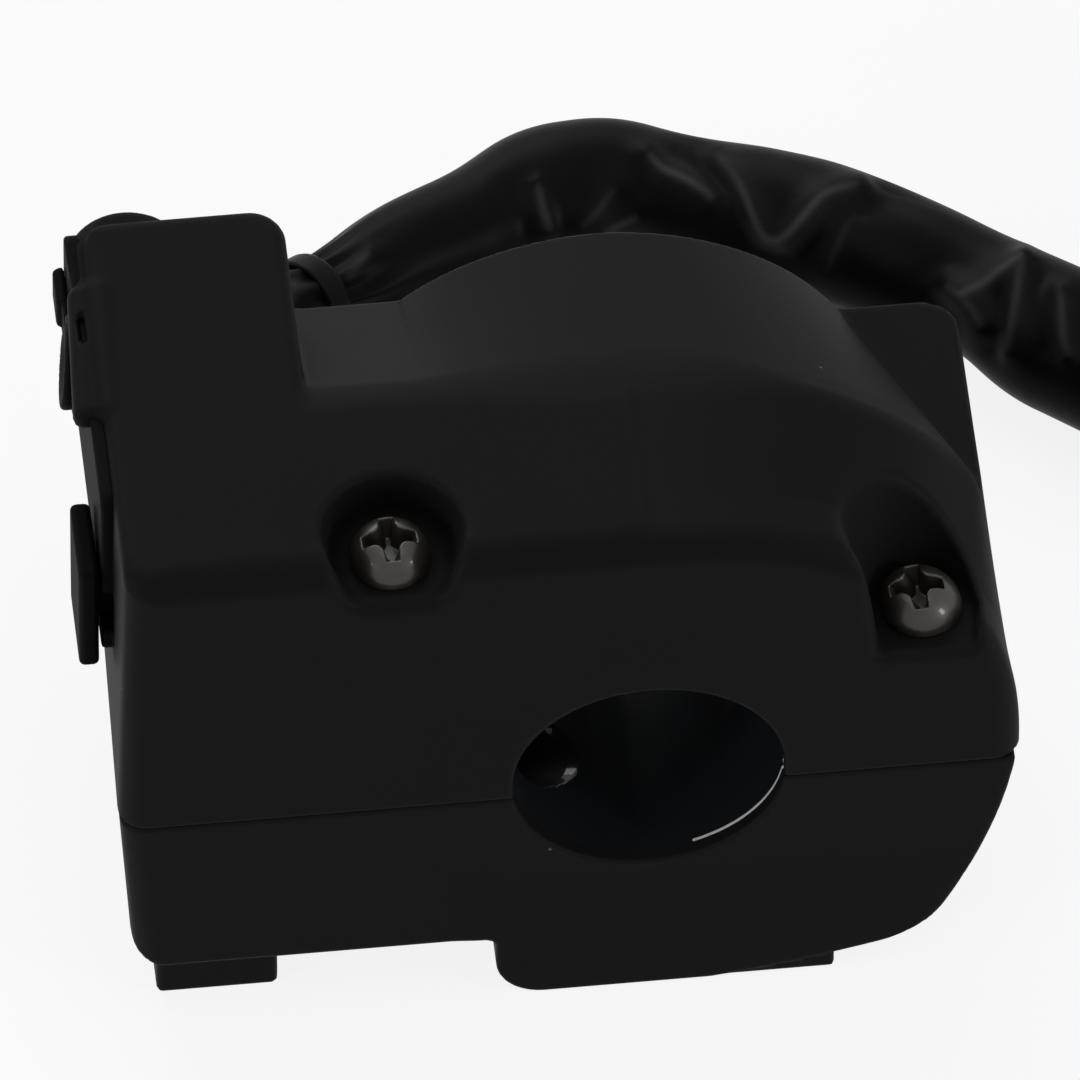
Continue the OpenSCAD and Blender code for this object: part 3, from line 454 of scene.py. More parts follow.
def new_material(name, rough, metallic=0.0, specular=0.5):
    """Material with one Principled shader; returns it with its tree and shader."""
    material = bpy.data.materials.new(name)
    material.use_nodes = True
    tree = material.node_tree
    shader = next(n for n in tree.nodes if n.type == "BSDF_PRINCIPLED")
    shader.inputs["Roughness"].default_value = rough
    shader.inputs["Metallic"].default_value = metallic
    shader.inputs["Specular IOR Level"].default_value = specular
    return material, tree, shader


def blend_colour(tree, share, a, b):
    """Colour between a and b by a share; each is a colour or a socket."""
    node = tree.nodes.new("ShaderNodeMix")
    node.data_type = "RGBA"
    tree.links.new(share, node.inputs["Factor"])
    for socket, value in ((node.inputs["A"], a), (node.inputs["B"], b)):
        if isinstance(value, tuple):
            socket.default_value = value
        else:
            tree.links.new(value, socket)
    return node.outputs["Result"]


def place_group(tree, name, **values):
    """Node that places a shared group in a material with its own values."""
    node = tree.nodes.new("ShaderNodeGroup")
    node.node_tree = bpy.data.node_groups[name]
    for key, value in values.items():
        node.inputs[key.replace("_", " ")].default_value = value
    return node


def bump(tree, shader, height, depth):
    """Bump of a height socket, with that depth in metres, on a shader's normal."""
    node = tree.nodes.new("ShaderNodeBump")
    node.inputs["Distance"].default_value = depth
    node.inputs["Strength"].default_value = 1.0
    tree.links.new(height, node.inputs["Height"])
    tree.links.new(node.outputs["Normal"], shader.inputs["Normal"])


def bore_mask(tree, low, high, radius):
    """One on the polished bore, between two distances along the bar and within a radius of its axis.

    Also one on a thin line where a highlight is painted pale, where the polish starts, low on the right.
    """
    place = tree.nodes.new("ShaderNodeTexCoord").outputs["Object"]
    split = tree.nodes.new("ShaderNodeSeparateXYZ")
    tree.links.new(place, split.inputs["Vector"])
    square = maths(tree, "MULTIPLY", split.outputs["Z"], split.outputs["Z"])
    square = maths(tree, "MULTIPLY_ADD", split.outputs["X"], split.outputs["X"], square)
    within = maths(tree, "LESS_THAN", square, radius**2)
    inside = maths(tree, "MULTIPLY", within, maths(tree, "GREATER_THAN", split.outputs["Y"], low))
    polished = maths(tree, "MULTIPLY", inside, maths(tree, "LESS_THAN", split.outputs["Y"], high))
    # Painted highlight: a thin line where the polish starts, low on the right
    wear_and_painted_highlight = maths(tree, "COMPARE", split.outputs["Y"], low, 0.00013)
    wear_and_painted_highlight = maths(tree, "MULTIPLY", wear_and_painted_highlight, maths(tree, "GREATER_THAN", split.outputs["X"], 0.0037))
    wear_and_painted_highlight = maths(tree, "MULTIPLY", wear_and_painted_highlight, maths(tree, "LESS_THAN", split.outputs["Z"], -0.0006))
    return polished, maths(tree, "MULTIPLY", wear_and_painted_highlight, within)


def moulded_plastic(name, base, rough, specular, worn, dust=0.5, bore=None):
    """Grained plastic: colour drifts with slow clouds, edges are worn paler, and dust lies on it.

    In the bore, where its extent is given, the plastic is polished, bluish and without grain, and a thin
    highlight is painted pale along a line where the polish starts.
    """
    material, tree, shader = new_material(name, rough, specular=specular)
    grain_node = place_group(tree, "moulded_grain", Grain_scale=GRAIN_SCALE, Wave_scale=WAVE_SCALE)
    wear_node = place_group(tree, "edge_wear", Amount=1.0, Specks=dust)
    darker = tuple(c * 0.86 for c in base[:3]) + (1.0,)
    cloudy = blend_colour(tree, grain_node.outputs["Cloud"], darker, base)
    wear_and_painted_highlight = blend_colour(tree, wear_node.outputs["Wear"], cloudy, worn)
    dust_and_painted_highlight = blend_colour(tree, wear_node.outputs["Dust"], wear_and_painted_highlight, (0.18, 0.18, 0.17, 1.0))
    gloss = maths(tree, "MULTIPLY_ADD", grain_node.outputs["Gloss"], 0.16, rough - 0.08)
    gloss = maths(tree, "MULTIPLY_ADD", wear_node.outputs["Wear"], -0.12, gloss)
    height = grain_node.outputs["Height"]
    if bore:
        mask, line = bore_mask(tree, *bore)
        dust_and_painted_highlight = blend_colour(tree, mask, dust_and_painted_highlight, (0.0085, 0.0095, 0.011, 1.0))
        # Painted highlight: the thin line in the bore is painted pale grey
        dust_and_painted_highlight = blend_colour(tree, line, dust_and_painted_highlight, (0.6, 0.6, 0.6, 1.0))
        gloss = maths(tree, "MULTIPLY_ADD", mask, maths(tree, "SUBTRACT", 0.3, gloss), gloss)
        height = maths(tree, "MULTIPLY", height, maths(tree, "SUBTRACT", 1.0, mask))
        shader.inputs["Coat Roughness"].default_value = 0.09
        tree.links.new(maths(tree, "MULTIPLY", mask, 0.35), shader.inputs["Coat Weight"])
    tree.links.new(dust_and_painted_highlight, shader.inputs["Base Color"])
    tree.links.new(gloss, shader.inputs["Roughness"])
    bump(tree, shader, height, GRAIN_DEPTH)
    return material


def vinyl(name, base):
    """Soft vinyl: nearly smooth, hazy in patches, with a highlight painted pale on the crests of its folds.
    """
    material, tree, shader = new_material(name, 0.4, specular=0.03)
    grain_node = place_group(tree, "moulded_grain", Grain_scale=1500.0, Wave_scale=160.0)
    crest = tree.nodes.new("ShaderNodeAttribute")
    crest.attribute_name = "edge"
    paler = tuple(c * 1.5 for c in base[:3]) + (1.0,)
    hazy = blend_colour(tree, grain_node.outputs["Cloud"], base, paler)
    # Painted highlight: the crests of the folds, given by the attribute edge, are painted pale
    hazy_with_painted_highlight = blend_colour(tree, crest.outputs["Fac"], hazy, (0.09, 0.09, 0.092, 1.0))
    tree.links.new(hazy_with_painted_highlight, shader.inputs["Base Color"])
    rough = maths(tree, "MULTIPLY_ADD", grain_node.outputs["Cloud"], 0.1, 0.35)
    tree.links.new(rough, shader.inputs["Roughness"])
    bump(tree, shader, grain_node.outputs["Height"], 0.00004)
    return material


def metal(name, base, rough, bare=1.0, lacquer=0.0):
    """Metal with tarnish in dark, dull patches and fine scratches, bare or under a film and lacquer."""
    material, tree, shader = new_material(name, rough, metallic=bare)
    shader.inputs["Coat Weight"].default_value = lacquer
    shader.inputs["Coat Roughness"].default_value = 0.06
    place = tree.nodes.new("ShaderNodeTexCoord").outputs["Object"]
    patch = noise(tree, place, TARNISH_SCALE, 4.0, 0.6)
    dull = tuple(c * 0.62 for c in base[:3]) + (1.0,)
    tree.links.new(blend_colour(tree, patch, dull, base), shader.inputs["Base Color"])
    rough_out = maths(tree, "MULTIPLY_ADD", patch, 0.3, rough - 0.15)
    tree.links.new(rough_out, shader.inputs["Roughness"])
    bump(tree, shader, noise(tree, place, TARNISH_SCALE * 4, 2.0), 0.00001)
    return material


def board_laminate(name, base):
    """Brown laminate with a fibrous fleck."""
    material, tree, shader = new_material(name, 0.55)
    place = tree.nodes.new("ShaderNodeTexCoord").outputs["Object"]
    fibre = noise(tree, place, 1400.0, 5.0, 0.7)
    darker = tuple(c * 0.6 for c in base[:3]) + (1.0,)
    tree.links.new(blend_colour(tree, fibre, darker, base), shader.inputs["Base Color"])
    bump(tree, shader, fibre, 0.00003)
    return material


def seen_rays(tree):
    """One for rays of the camera, of reflections and through clear matter, else zero."""
    path = tree.nodes.new("ShaderNodeLightPath")
    seen = maths(tree, "MAXIMUM", path.outputs["Is Camera Ray"], path.outputs["Is Glossy Ray"])
    return maths(tree, "MAXIMUM", seen, path.outputs["Is Transmission Ray"])


def stage_white(name):
    """Pale floor: plain white to the camera and in reflections apart from a faint shadow."""
    material, tree, shader = new_material(name, 0.9, specular=0.0)
    shader.inputs["Base Color"].default_value = (0.9, 0.9, 0.9, 1.0)
    seen = seen_rays(tree)
    glow = tree.nodes.new("ShaderNodeEmission")
    mix = tree.nodes.new("ShaderNodeMixShader")
    tree.links.new(maths(tree, "MULTIPLY", seen, 0.86), mix.inputs["Fac"])
    tree.links.new(shader.outputs["BSDF"], mix.inputs[1])
    tree.links.new(glow.outputs["Emission"], mix.inputs[2])
    output = next(n for n in tree.nodes if n.type == "OUTPUT_MATERIAL")
    tree.links.new(mix.outputs["Shader"], output.inputs["Surface"])
    return material


def finishes():
    """All materials by name, made on first use."""
    if "moulded_grain" not in bpy.data.node_groups:
        grain_group()
        wear_group()
    made = bpy.data.materials
    worn_black = (0.009, 0.009, 0.009, 1.0)
    makers = {
        "case_black": lambda n: moulded_plastic(
            n, colour("case"), 0.55, 0.03, (0.0095, 0.0095, 0.0095, 1.0), bore=(0.0013, 0.0377, 0.0116)
        ),
        "knob_black": lambda n: moulded_plastic(n, colour("knob"), 0.6, 0.02, worn_black),
        "tie_black": lambda n: moulded_plastic(n, colour("rubber"), 0.4, 0.05, worn_black),
        "grommet_black": lambda n: moulded_plastic(n, colour("rubber"), 0.62, 0.05, worn_black),
        "sleeve_black": lambda n: vinyl(n, colour("vinyl")),
        "screw_dark": lambda n: metal(n, colour("screw"), 0.45, bare=0.1, lacquer=0.25),
        "brass_bare": lambda n: metal(n, colour("brass"), 0.34),
        "zinc_bright": lambda n: metal(n, colour("zinc"), 0.32),
        "nylon_pale": lambda n: moulded_plastic(
            n, colour("nylon"), 0.45, 0.4, (0.85, 0.83, 0.78, 1.0), dust=0.0
        ),
        "board_brown": lambda n: board_laminate(n, colour("board")),
        "wire_red": lambda n: moulded_plastic(
            n, (0.30, 0.03, 0.025, 1.0), 0.35, 0.4, (0.4, 0.1, 0.1, 1.0), dust=0.0
        ),
        "wire_yellow": lambda n: moulded_plastic(
            n, (0.5, 0.33, 0.03, 1.0), 0.35, 0.4, (0.6, 0.5, 0.2, 1.0), dust=0.0
        ),
    }
    return lambda name: made[name] if name in made else makers[name](name)


# Case


def rounded(a, b, power):
    """Reach of a section point: level curves are circles at power 2 and squarer rounds above it."""
    return (np.maximum(a, 1e-6) ** power + np.abs(b) ** power) ** (1 / power)


def upper_field(x, y, z, s):
    """Upper shell.

    In front of the crease its section is a flat top that runs into a round shoulder. Behind the crease
    the top is ruled down to an arch and a ledge, the shoulder narrows as a cone above a level shelf, and
    a block on the left keeps its full height. Two pockets hold the screws.
    """
    back = (y - s.crease) / (s.length - s.crease)
    share = np.clip(back, -0.4, 1.1)
    middle = s.shoulder - 0.4 + 0.95 * np.exp(-np.maximum(y, 0) / 9) - 0.003 * y
    power = 2.2 + 0.6 * np.clip((y - 6) / 16, 0, 1)
    outline = np.where(x < middle, z - s.top, rounded(x - middle, z, power) - s.top)
    arch = np.sqrt(np.maximum(s.barrel**2 - np.minimum(x, 0) ** 2, 0))
    end = np.maximum(arch, s.ledge)
    rise = (s.top - end) / (s.length - s.crease)
    centre = s.shoulder * (1 - share)
    cone = rounded(x - centre, z, 2.2 - 0.2 * np.clip(back, 0, 1))
    drop = s.top - s.barrel + 1.2 * np.clip((x - centre) / 20, 0, 1)
    ramp = np.where(
        x < centre,
        (z - s.top + (s.top - end) * share) / np.sqrt(1 + rise**2),
        (cone - s.top + drop * share) * 0.95,
    )
    rear = y - s.length - 0.4 * np.clip((-24 - x) / 2, 0, 1)
    plan = both(x + s.notch - 0.1 - 0.02 * (s.top - z), rear, 3.0)
    shelf = np.maximum(z - s.flange - 0.25, 6 - x)
    carve = either(either(ramp, plan, 0.7), shelf, 0.7)
    body = both(outline, carve, 1.1 - 0.6 * np.clip((x - 8) / 6, 0, 1))
    left = -x - s.face - 0.1 + 0.025 * z + 0.035 * y * np.clip(1 - z / s.top, 0, 1)
    front = 0.015 * z - y
    soft = 1.2 + 1.4 * np.clip(0.5 + (front - left) / 6, 0, 1)
    body = both(body, both(left, front, 2.6), soft)
    body = both(body, both(np.where(x > 0, outline, left), rear, 3.1), 0.4)
    lug = rod(x + 38.8, y - 35.3, z, 4.95, 17, s.top - 0.9, 0.6)
    body = either(body, lug, 0.4)
    lean = x - 0.06 * (y - 19)
    hood = brick(lean, y, z, (-s.face - 1.65, 19.0, s.top - 2.6), (-s.face + 1.7, 32.6, s.top - 0.3), 0.9)
    body = either(body, hood, 1.1)
    slot = brick(x, y, z, (-s.face - 0.3, 26.4, s.top - 1.5), (-s.face + 0.2, 29.2, s.top + 1), 0.2)
    body = np.maximum(body, -slot)
    body = both(body, -left_pocket(x, y, z, s), 0.5 + 0.4 * np.clip(3 - y, 0, 3))
    body = both(body, -right_pocket(x, y, z), 0.9)
    body = np.maximum(body, -upper_hollow(x, y, z, s))
    body = bored(body, x, y, z, s)
    body = np.minimum(body, bay_ribs(x, y, z, s))
    body = np.maximum(body, -control_openings(x, y, z, s))
    return both(body, 0.03 - s.parting - z, 0.4)


def bored(body, x, y, z, s):
    """A body with the bar bore, a little eased at the front, and a low rib along its floor."""
    across = np.hypot(x, z)
    rib = 0.2 * np.exp(-(((x + 2.3) / 1.3) ** 2)) * np.clip(-z, 0, 1) * np.clip((y - 1.5) / 3, 0, 1)
    return both(body, s.bore - rib - across, 0.3)


def left_pocket(x, y, z, s):
    """Tapered round pocket in the top, open to the front."""
    up = z - s.top + LEFT_POCKET_DEPTH
    cone = (np.hypot(x + 20.4, y - 4.5) - 4.9 - 0.2 * up) * 0.98
    mouth = np.maximum((np.abs(x + 20.4) - 3.4 - 0.36 * up) * 0.93, y - 4.5)
    return both(either(cone, mouth, 0.8), -up, 1.2)


def right_pocket(x, y, z):
    """Round pocket in the shoulder, flared upwards and open to the front."""
    up = z - RIGHT_POCKET_FLOOR
    cone = (np.hypot(x - 22.8, y - 4.5) - 4.1 - 0.2 * up) * 0.97
    mouth = np.maximum(np.abs(x - 22.8) - 4.0 - 0.1 * up, y - 4.5)
    return both(either(cone, mouth, 0.6), -up, 0.6)


def screw_column(x, y):
    """Upright column of solid plastic round the long screw."""
    return np.hypot(x + 20.5, y - 4.5) - 4.6


def upper_hollow(x, y, z, s):
    """Hollows of the upper shell: the control bay, the wire bay, the horn's pocket and the right core."""
    deep = s.length - s.wall
    bay = brick(x, y, z, (-s.face + s.wall, s.wall, -9), (-s.notch - s.wall, deep, s.top - s.wall), 0.5)
    low = brick(x, y, z, (-s.notch - 6, s.wall, -9), (-s.bore - 2.5, deep, s.ledge - s.wall - 0.7), 0.5)
    low = np.maximum(low, -screw_column(x, y))
    horn = rod(y - s.length + HORN_BACK, z - s.top + HORN_DOWN, x, 4.35, -s.face + s.wall, -s.face + 10)
    radius = np.hypot(x, z)
    outer = (radius - 26.9 + 6.0 * (y - 13) / (deep - 13)) * 0.96
    outer = np.minimum(outer, np.maximum(radius - s.top + s.wall + 0.8, z - s.flange + s.wall))
    core = np.maximum(np.maximum(outer, s.bore + 2.5 - radius), 2.5 - x)
    core = np.maximum(core, np.maximum(13 - y, y - deep))
    return np.minimum(np.minimum(bay, low), np.minimum(horn, core))


def bay_ribs(x, y, z, s):
    """Rails of the turn slider and bosses of the contact board."""
    inner = -s.face + s.wall
    upper = brick(x, y, z, (inner - 0.4, s.wall - 0.4, 20.15), (inner + 6.4, 22.5, 21.6))
    lower = brick(x, y, z, (inner - 0.4, s.wall - 0.4, 7.1), (inner + 6.4, 22.5, 8.55))
    first = rod(y - 11, z - s.top + s.wall + 2.7, x, 2.2, inner - 0.4, inner + 7.6)
    second = rod(y - 27.5, z - 11.5, x, 2.2, inner - 0.4, inner + 7.6)
    return np.minimum(np.minimum(upper, lower), np.minimum(first, second))


def dimmer_place(s):
    """Y and Z of the dimmer knob's stem."""
    return s.length - s.wall - 1.85, s.top - 7.2


def control_openings(x, y, z, s):
    """Slots and hole of the control face."""
    low, high = -s.face - 4, -s.face + s.wall + 0.6
    turn = brick(x, y, z, (low, 8.8, 11.85), (high, 18.2, 16.85))
    dimmer_y, dimmer_z = dimmer_place(s)
    dimmer = brick(x, y, z, (low, dimmer_y - 1.05, dimmer_z - 6), (high, dimmer_y + 1.05, dimmer_z + 1))
    horn = rod(y - s.length + HORN_BACK, z - s.top + HORN_DOWN, x, 3.54, low, high)
    return np.minimum(np.minimum(turn, dimmer), horn)


def lower_field(x, y, z, s):
    """Lower shell: a bay with a drafted left wall, a deeper middle block, a rounded belly and two feet."""
    left = -x - s.face - 0.2 - 0.055 * z + 0.035 * y
    bay = np.maximum(both(left, -z - s.bay, 3.0), x)
    side = np.hypot(x + 26.8, z - 6.24) - 57.45
    bottom = np.maximum(-z - s.foot, np.hypot(x + 10.5, z - 82.2) - 110.3)
    belly = both(both(-x - s.block, bottom, 4.0), side, 2.6)
    section = either(bay, belly, 1.0)
    rear = y - s.length
    front = -y - 0.25 * np.clip(-z / 12 - 1, 0, 1) * np.clip(x / 2 + 8, 0, 1)
    body = both(section, both(left, front, 2.6), 0.3)
    body = both(body, both(np.maximum(left, side), rear, 3.4), 0.6)
    left_foot = brick(x, y, z, (-40.0, 2.8, -s.foot), (-30.1, 17.3, -s.bay + 2), 0.5)
    right_foot = brick(x, y, z, (3.4, -0.12, -s.foot), (15.2, 14.3, -s.bay), 0.35)
    body = np.minimum(either(body, left_foot, 0.4), right_foot)
    deep = s.length - s.wall
    hollow_low = (-s.face + s.wall + 1.1, s.wall, -s.bay + s.wall)
    hollow = brick(x, y, z, hollow_low, (-s.bore - 2.5, deep, 9), 0.5)
    hollow = np.maximum(hollow, -screw_column(x, y))
    radius = np.hypot(x, z)
    core = np.maximum(radius - s.foot + s.wall + 0.6, s.bore + 2.5 - radius)
    core = np.maximum(core, -s.block + s.wall - x)
    core = np.maximum(core, np.maximum(13 - y, y - deep))
    outlet = rod(x - EXIT_X, z - EXIT_Z, y, 5.15, deep - 1, s.length + 1)
    body = np.maximum(body, -np.minimum(np.minimum(hollow, core), outlet))
    body = bored(body, x, y, z, s)
    port = rod(y - 10, z + 5.7, x, 4.4, -15, -3)
    return both(both(body, -port, 0.1), z + s.parting + 0.03, 0.4)


def make_case():
    """Both shells as level surfaces."""
    s = sizes()
    look = finishes()
    upper = add_level_piece(
        "upper_shell_skin", lambda x, y, z: upper_field(x, y, z, s),
        (-s.face - 2, 0, -s.parting), (s.shoulder + s.top + 0.5, s.length + 2, s.top), s.cell, front=3,
    )
    dress(upper, "housing", "case_plastic", look("case_black"), "upper_shell")
    lower = add_level_piece(
        "lower_shell_skin", lambda x, y, z: lower_field(x, y, z, s),
        (-s.face - 1, -0.6, -s.foot), (s.belly + 0.5, s.length, -s.parting), s.cell, front=3,
    )
    dress(lower, "housing", "case_plastic", look("case_black"), "lower_shell")


# Screws


def screw_field(x, y, z, s, centre, floor, lean, turn):
    """Pan head, a drum with a well rounded top, and a tapered cross recess; the shank reaches the insert.

    Lean moves the head sideways for each millimetre of height; turn is the recess's angle in degrees.
    """
    py, up = y - centre[1], z - floor
    px = x - centre[0] + lean * np.maximum(up, 0)
    across = np.hypot(px, py)
    top = up - HEAD_HEIGHT + 0.05 * across**2
    head = both(both(across - s.head + 0.2, -up, 0.15), top, 2.0)
    c, d = np.cos(np.radians(turn)), np.sin(np.radians(turn))
    a, b = np.abs(c * px + d * py), np.abs(c * py - d * px)
    taper = 0.36 * (up - HEAD_HEIGHT)
    long_arm = np.maximum(a - 2.4 - taper, b - 0.66 - 0.5 * taper)
    cross_arm = np.maximum(b - 2.4 - taper, a - 0.66 - 0.5 * taper)
    hub = (across - 1.25 - 0.7 * taper) * 0.95
    recess = np.maximum(either(np.minimum(long_arm, cross_arm), hub, 0.25), 0.8 - up)
    head = both(head, -recess, 0.14)
    shank = np.maximum(across - 2.0, np.maximum(-SHANK_DEPTH - s.parting - z, up - 0.2))
    return np.minimum(head, shank)


def make_screws():
    """Two case screws that differ in length."""
    s = sizes()
    look = finishes()
    for name, node, centre, floor, lean, turn in (
        ("long_case_screw_turned", "long_case_screw", (-20.5, 5.1), s.top - LEFT_POCKET_DEPTH, 0.04, 3),
        ("short_case_screw_turned", "short_case_screw", (22.8, 5.2), RIGHT_POCKET_FLOOR, 0.2, 5),
    ):
        reach = s.head + 0.8
        screw = add_level_piece(
            name, lambda x, y, z: screw_field(x, y, z, s, centre, floor, lean, turn),
            (centre[0] - reach, centre[1] - reach, -SHANK_DEPTH - s.parting),
            (centre[0] + reach, centre[1] + reach, floor + HEAD_HEIGHT), 0.16, wear=0.2,
        )
        dress(screw, "housing", "screw_steel", look("screw_dark"), node)


# Controls


def bezel_field(x, y, z, s):
    """Plate on the control face with rounded corners, a rim round the horn hole, and the slots."""
    plate = brick(x, y, z, (-s.face - 9, 10.3, 9.0), (-s.face + 9, s.length + 0.3, s.top - 0.9), 1.2)
    plate = both(plate, -brick(x, y, z, (-s.face - 9, 19, 0), (-s.face + 9, s.length + 4, 14.5), 2.0), 1.5)
    front = -s.face - 0.3 - 0.25 * np.clip((y - 30) / 6, 0, 1)
    plate = both(plate, np.maximum(front - x, x + s.face - 0.9), 0.3)
    ring = rod(y - s.length + HORN_BACK, z - s.top + HORN_DOWN, x, 4.3, -s.face - 1.1, -s.face, 0.3)
    plate = either(plate, ring, 0.3)
    plate = np.maximum(plate, z - s.top + 0.9)
    return both(plate, -control_openings(x, y, z, s), 0.15)


def horn_field(x, y, z, s):
    """Round button with a dished, slightly tilted face, its flange and its stem."""
    a, b = y - s.length + HORN_BACK, z - s.top + HORN_DOWN
    front = -s.face - 1.75
    lean = x - 0.09 * (a + b) * np.clip(-s.face - x, 0, 1)
    cap = rod(a, b, lean, 3.45, front, -s.face + 2.6, 0.5)
    dish = np.sqrt(a**2 + b**2 + (lean - front + 8.6) ** 2) - 9.0
    cap = both(cap, -dish, 0.25)
    flange = rod(a, b, x, 4.1, -s.face + 2.5, -s.face + 3.2, 0.1)
    stem = rod(a, b, x, 1.2, -s.face + 3, -s.face + 8.0, 0.1)
    return np.minimum(np.minimum(cap, flange), stem)


def turn_field(x, y, z, s):
    """Slide knob with a plain face and well rounded edges, on a stem."""
    body = brick(x, y, z, (-s.face - 2.2, 9.7, 8.2), (-s.face - 0.55, 17.3, 20.3), 0.5)
    stem = brick(x, y, z, (-s.face - 1.1, 12.0, 12.0), (-s.face + 5.2, 15.0, 16.7), 0.1)
    return np.minimum(body, stem)


def dimmer_field(x, y, z, s):
    """Small slide knob with well rounded edges, on a plate that covers its slot and a stem."""
    cy, cz = dimmer_place(s)
    body = brick(x, y, z, (-s.face - 1.55, cy + 0.1, cz - 0.9), (-s.face - 0.65, cy + 3.8, cz + 2.5), 0.4)
    plate = brick(x, y, z, (-s.face - 1.1, cy - 1.7, cz - 1.8), (-s.face - 0.65, cy + 3.8, cz + 2.5), 0.15)
    stem = brick(x, y, z, (-s.face - 0.9, cy - 0.9, cz - 0.8), (-s.face + 5.2, cy + 0.9, cz + 0.8), 0.1)
    return np.minimum(either(body, plate, 0.2), stem)


def make_controls():
    """Bezel, horn button and the two slide knobs."""
    s = sizes()
    look = finishes()
    face = -s.face
    parts = (
        ("switch_bezel_plate", bezel_field, (face - 1.6, 10.3, 9), (face + 1, s.length + 0.4, s.top - 1),
         0.32, "housing", "bezel_plastic", "switch_bezel"),
        ("horn_button_cap", horn_field, (face - 2.6, 23.8, 20.1), (face + 8.1, 32.2, 28.5), 0.25,
         "horn", "knob_plastic", "horn_button"),
        ("turn_knob_grip", turn_field, (face - 3, 9.4, 7.3), (face + 5.3, 17.6, 20.1), 0.22,
         "turn", "knob_plastic", "turn_knob"),
        ("dimmer_knob_grip", dimmer_field, (face - 2.5, 32, 20.4), (face + 5.3, 38, 25.1), 0.2,
         "dimmer", "knob_plastic", "dimmer_knob"),
    )
    for name, field, low, high, cell, body, slot, node in parts:
        piece = add_level_piece(name, lambda x, y, z: field(x, y, z, s), low, high, cell, wear=0.25)
        dress(piece, body, slot, look("knob_black"), node)


def make_inner():
    """Finishes of the parts inside the case, which keep their CAD shapes."""
    look = finishes()
    inner = {
        "brass_bare": ("screw_inserts", "board_contacts", "horn_contact", "turn_bridge", "dimmer_bridge",
                       "connector_terminals"),
        "zinc_bright": ("board_screws", "turn_detent_ball", "dimmer_detent_ball", "horn_spring",
                        "turn_detent_spring", "dimmer_detent_spring"),
        "knob_black": ("turn_slider", "dimmer_slider"),
        "board_brown": ("contact_board",),
        "wire_red": ("lead_wires",),
        "wire_yellow": ("connector_wires",),
        "tie_black": ("coil_tie",),
    }
    for material, names in inner.items():
        for name in names:
            NODES[name].data.materials.clear()
            NODES[name].data.materials.append(look(material))


# Harness


def heading(degrees):
    """Level unit vector at an angle from X."""
    return np.array([np.cos(np.radians(degrees)), np.sin(np.radians(degrees)), 0])


def loop_middle():
    """Middle of the put-away loop."""
    return ROUTE[-1] - LOOP_RADIUS * heading(LOOP_HEADING - 90)


def loop_points(angles):
    """Points of the put-away loop, an inward spiral on the resting plane."""
    turn = np.radians(LOOP_HEADING - 90 + angles)
    radius = LOOP_RADIUS - LOOP_STEP * angles / 360
    return loop_middle() + radius[:, None] * np.stack([np.cos(turn), np.sin(turn), 0 * turn], axis=1)


def harness_path():
    """Centreline of the whole harness: close steps where it shows, wider ones round the loop."""
    corners = np.concatenate([ROUTE, loop_points(np.arange(7.5, LOOP_END + 0.1, 7.5))])
    fine = smooth_path(corners, 0.4)
    along = path_frame(fine)[0]
    close = np.arange(0, SHOWN_LENGTH, 0.32)
    keep = np.concatenate([close, np.arange(SHOWN_LENGTH, along[-1], 1.3), [along[-1]]])
    return np.stack([np.interp(keep, along, fine[:, k]) for k in range(3)], axis=1)


def in_photo(points):
    """Pixels of points in mm, seen from far off."""
    across = PHOTO_ORIGIN[0] + points @ PHOTO_ACROSS
    down = PHOTO_ORIGIN[1] - points @ PHOTO_RISE
    return np.stack([across, down], axis=-1)


def line_distance(pixels, line):
    """Least distance in mm from pixels to a smoothed line in the photograph, and where along it, 0 to 1."""
    line = smooth_path(np.array(line, float), 5.0)
    least = np.full(pixels.shape[:-1], 1e9)
    part = np.zeros(pixels.shape[:-1])
    for k, (a, b) in enumerate(zip(line[:-1], line[1:])):
        d = b - a
        t = np.clip(((pixels - a) @ d) / (d @ d), 0, 1)
        gap = np.linalg.norm(pixels - a - t[..., None] * d, axis=-1)
        part = np.where(gap < least, (k + t) / (len(line) - 1), part)
        least = np.minimum(least, gap)
    return least / np.linalg.norm(PHOTO_ACROSS), part


def sleeve_wrinkles(along, angle):
    """Soft wrinkles all over: seeded short creases, each a dent along a slanted line on the sleeve."""
    chance = np.random.default_rng(7)
    dent = np.zeros(np.broadcast(along, angle).shape)
    for _ in range(90):
        at, round_at = chance.uniform(0, along.max()), chance.uniform(0, 2 * np.pi)
        slant, length = chance.uniform(-0.9, 0.9), chance.uniform(3, 9)
        width, depth = chance.uniform(1.4, 3.0), chance.uniform(-0.3, 0.2)
        a = along - at
        b = (np.mod(angle - round_at + np.pi, 2 * np.pi) - np.pi) * 5.5
        u, v = a * np.cos(slant) - b * np.sin(slant), a * np.sin(slant) + b * np.cos(slant)
        dent += depth * np.exp(-((u / width) ** 2) - (v / length) ** 2)
    return dent


def along_route(along, values):
    """Values given at the route's points, at lengths along it, smoothed by a short moving mean."""
    stops = np.concatenate([[0], np.linalg.norm(np.diff(ROUTE, axis=0), axis=1).cumsum()])
    places = np.linspace(-2.4, 2.4, 9)
    return sum(np.interp(along + place, stops, values) for place in places) / len(places)


def sleeve_radius(along, angle):
    """Radius of the sleeve: gathered at the tie, slack after it, wrinkled out of the camera's view."""
    neck = np.linalg.norm(np.diff(ROUTE[:NECK + 1], axis=0), axis=1).sum()
    pleat = np.exp(-(((along - neck) / 6.0) ** 2)) * 0.22
    seen = np.clip((along - neck) / 4, 0, 1) * np.clip((SHOWN_LENGTH + 6 - along) / 8, 0, 1)
    radius = along_route(along, ROUTE_RADIUS) + pleat * np.cos(11 * angle + 0.8 * np.sin(3 * angle))
    return radius + sleeve_wrinkles(along, angle) * (1 - 0.8 * seen)


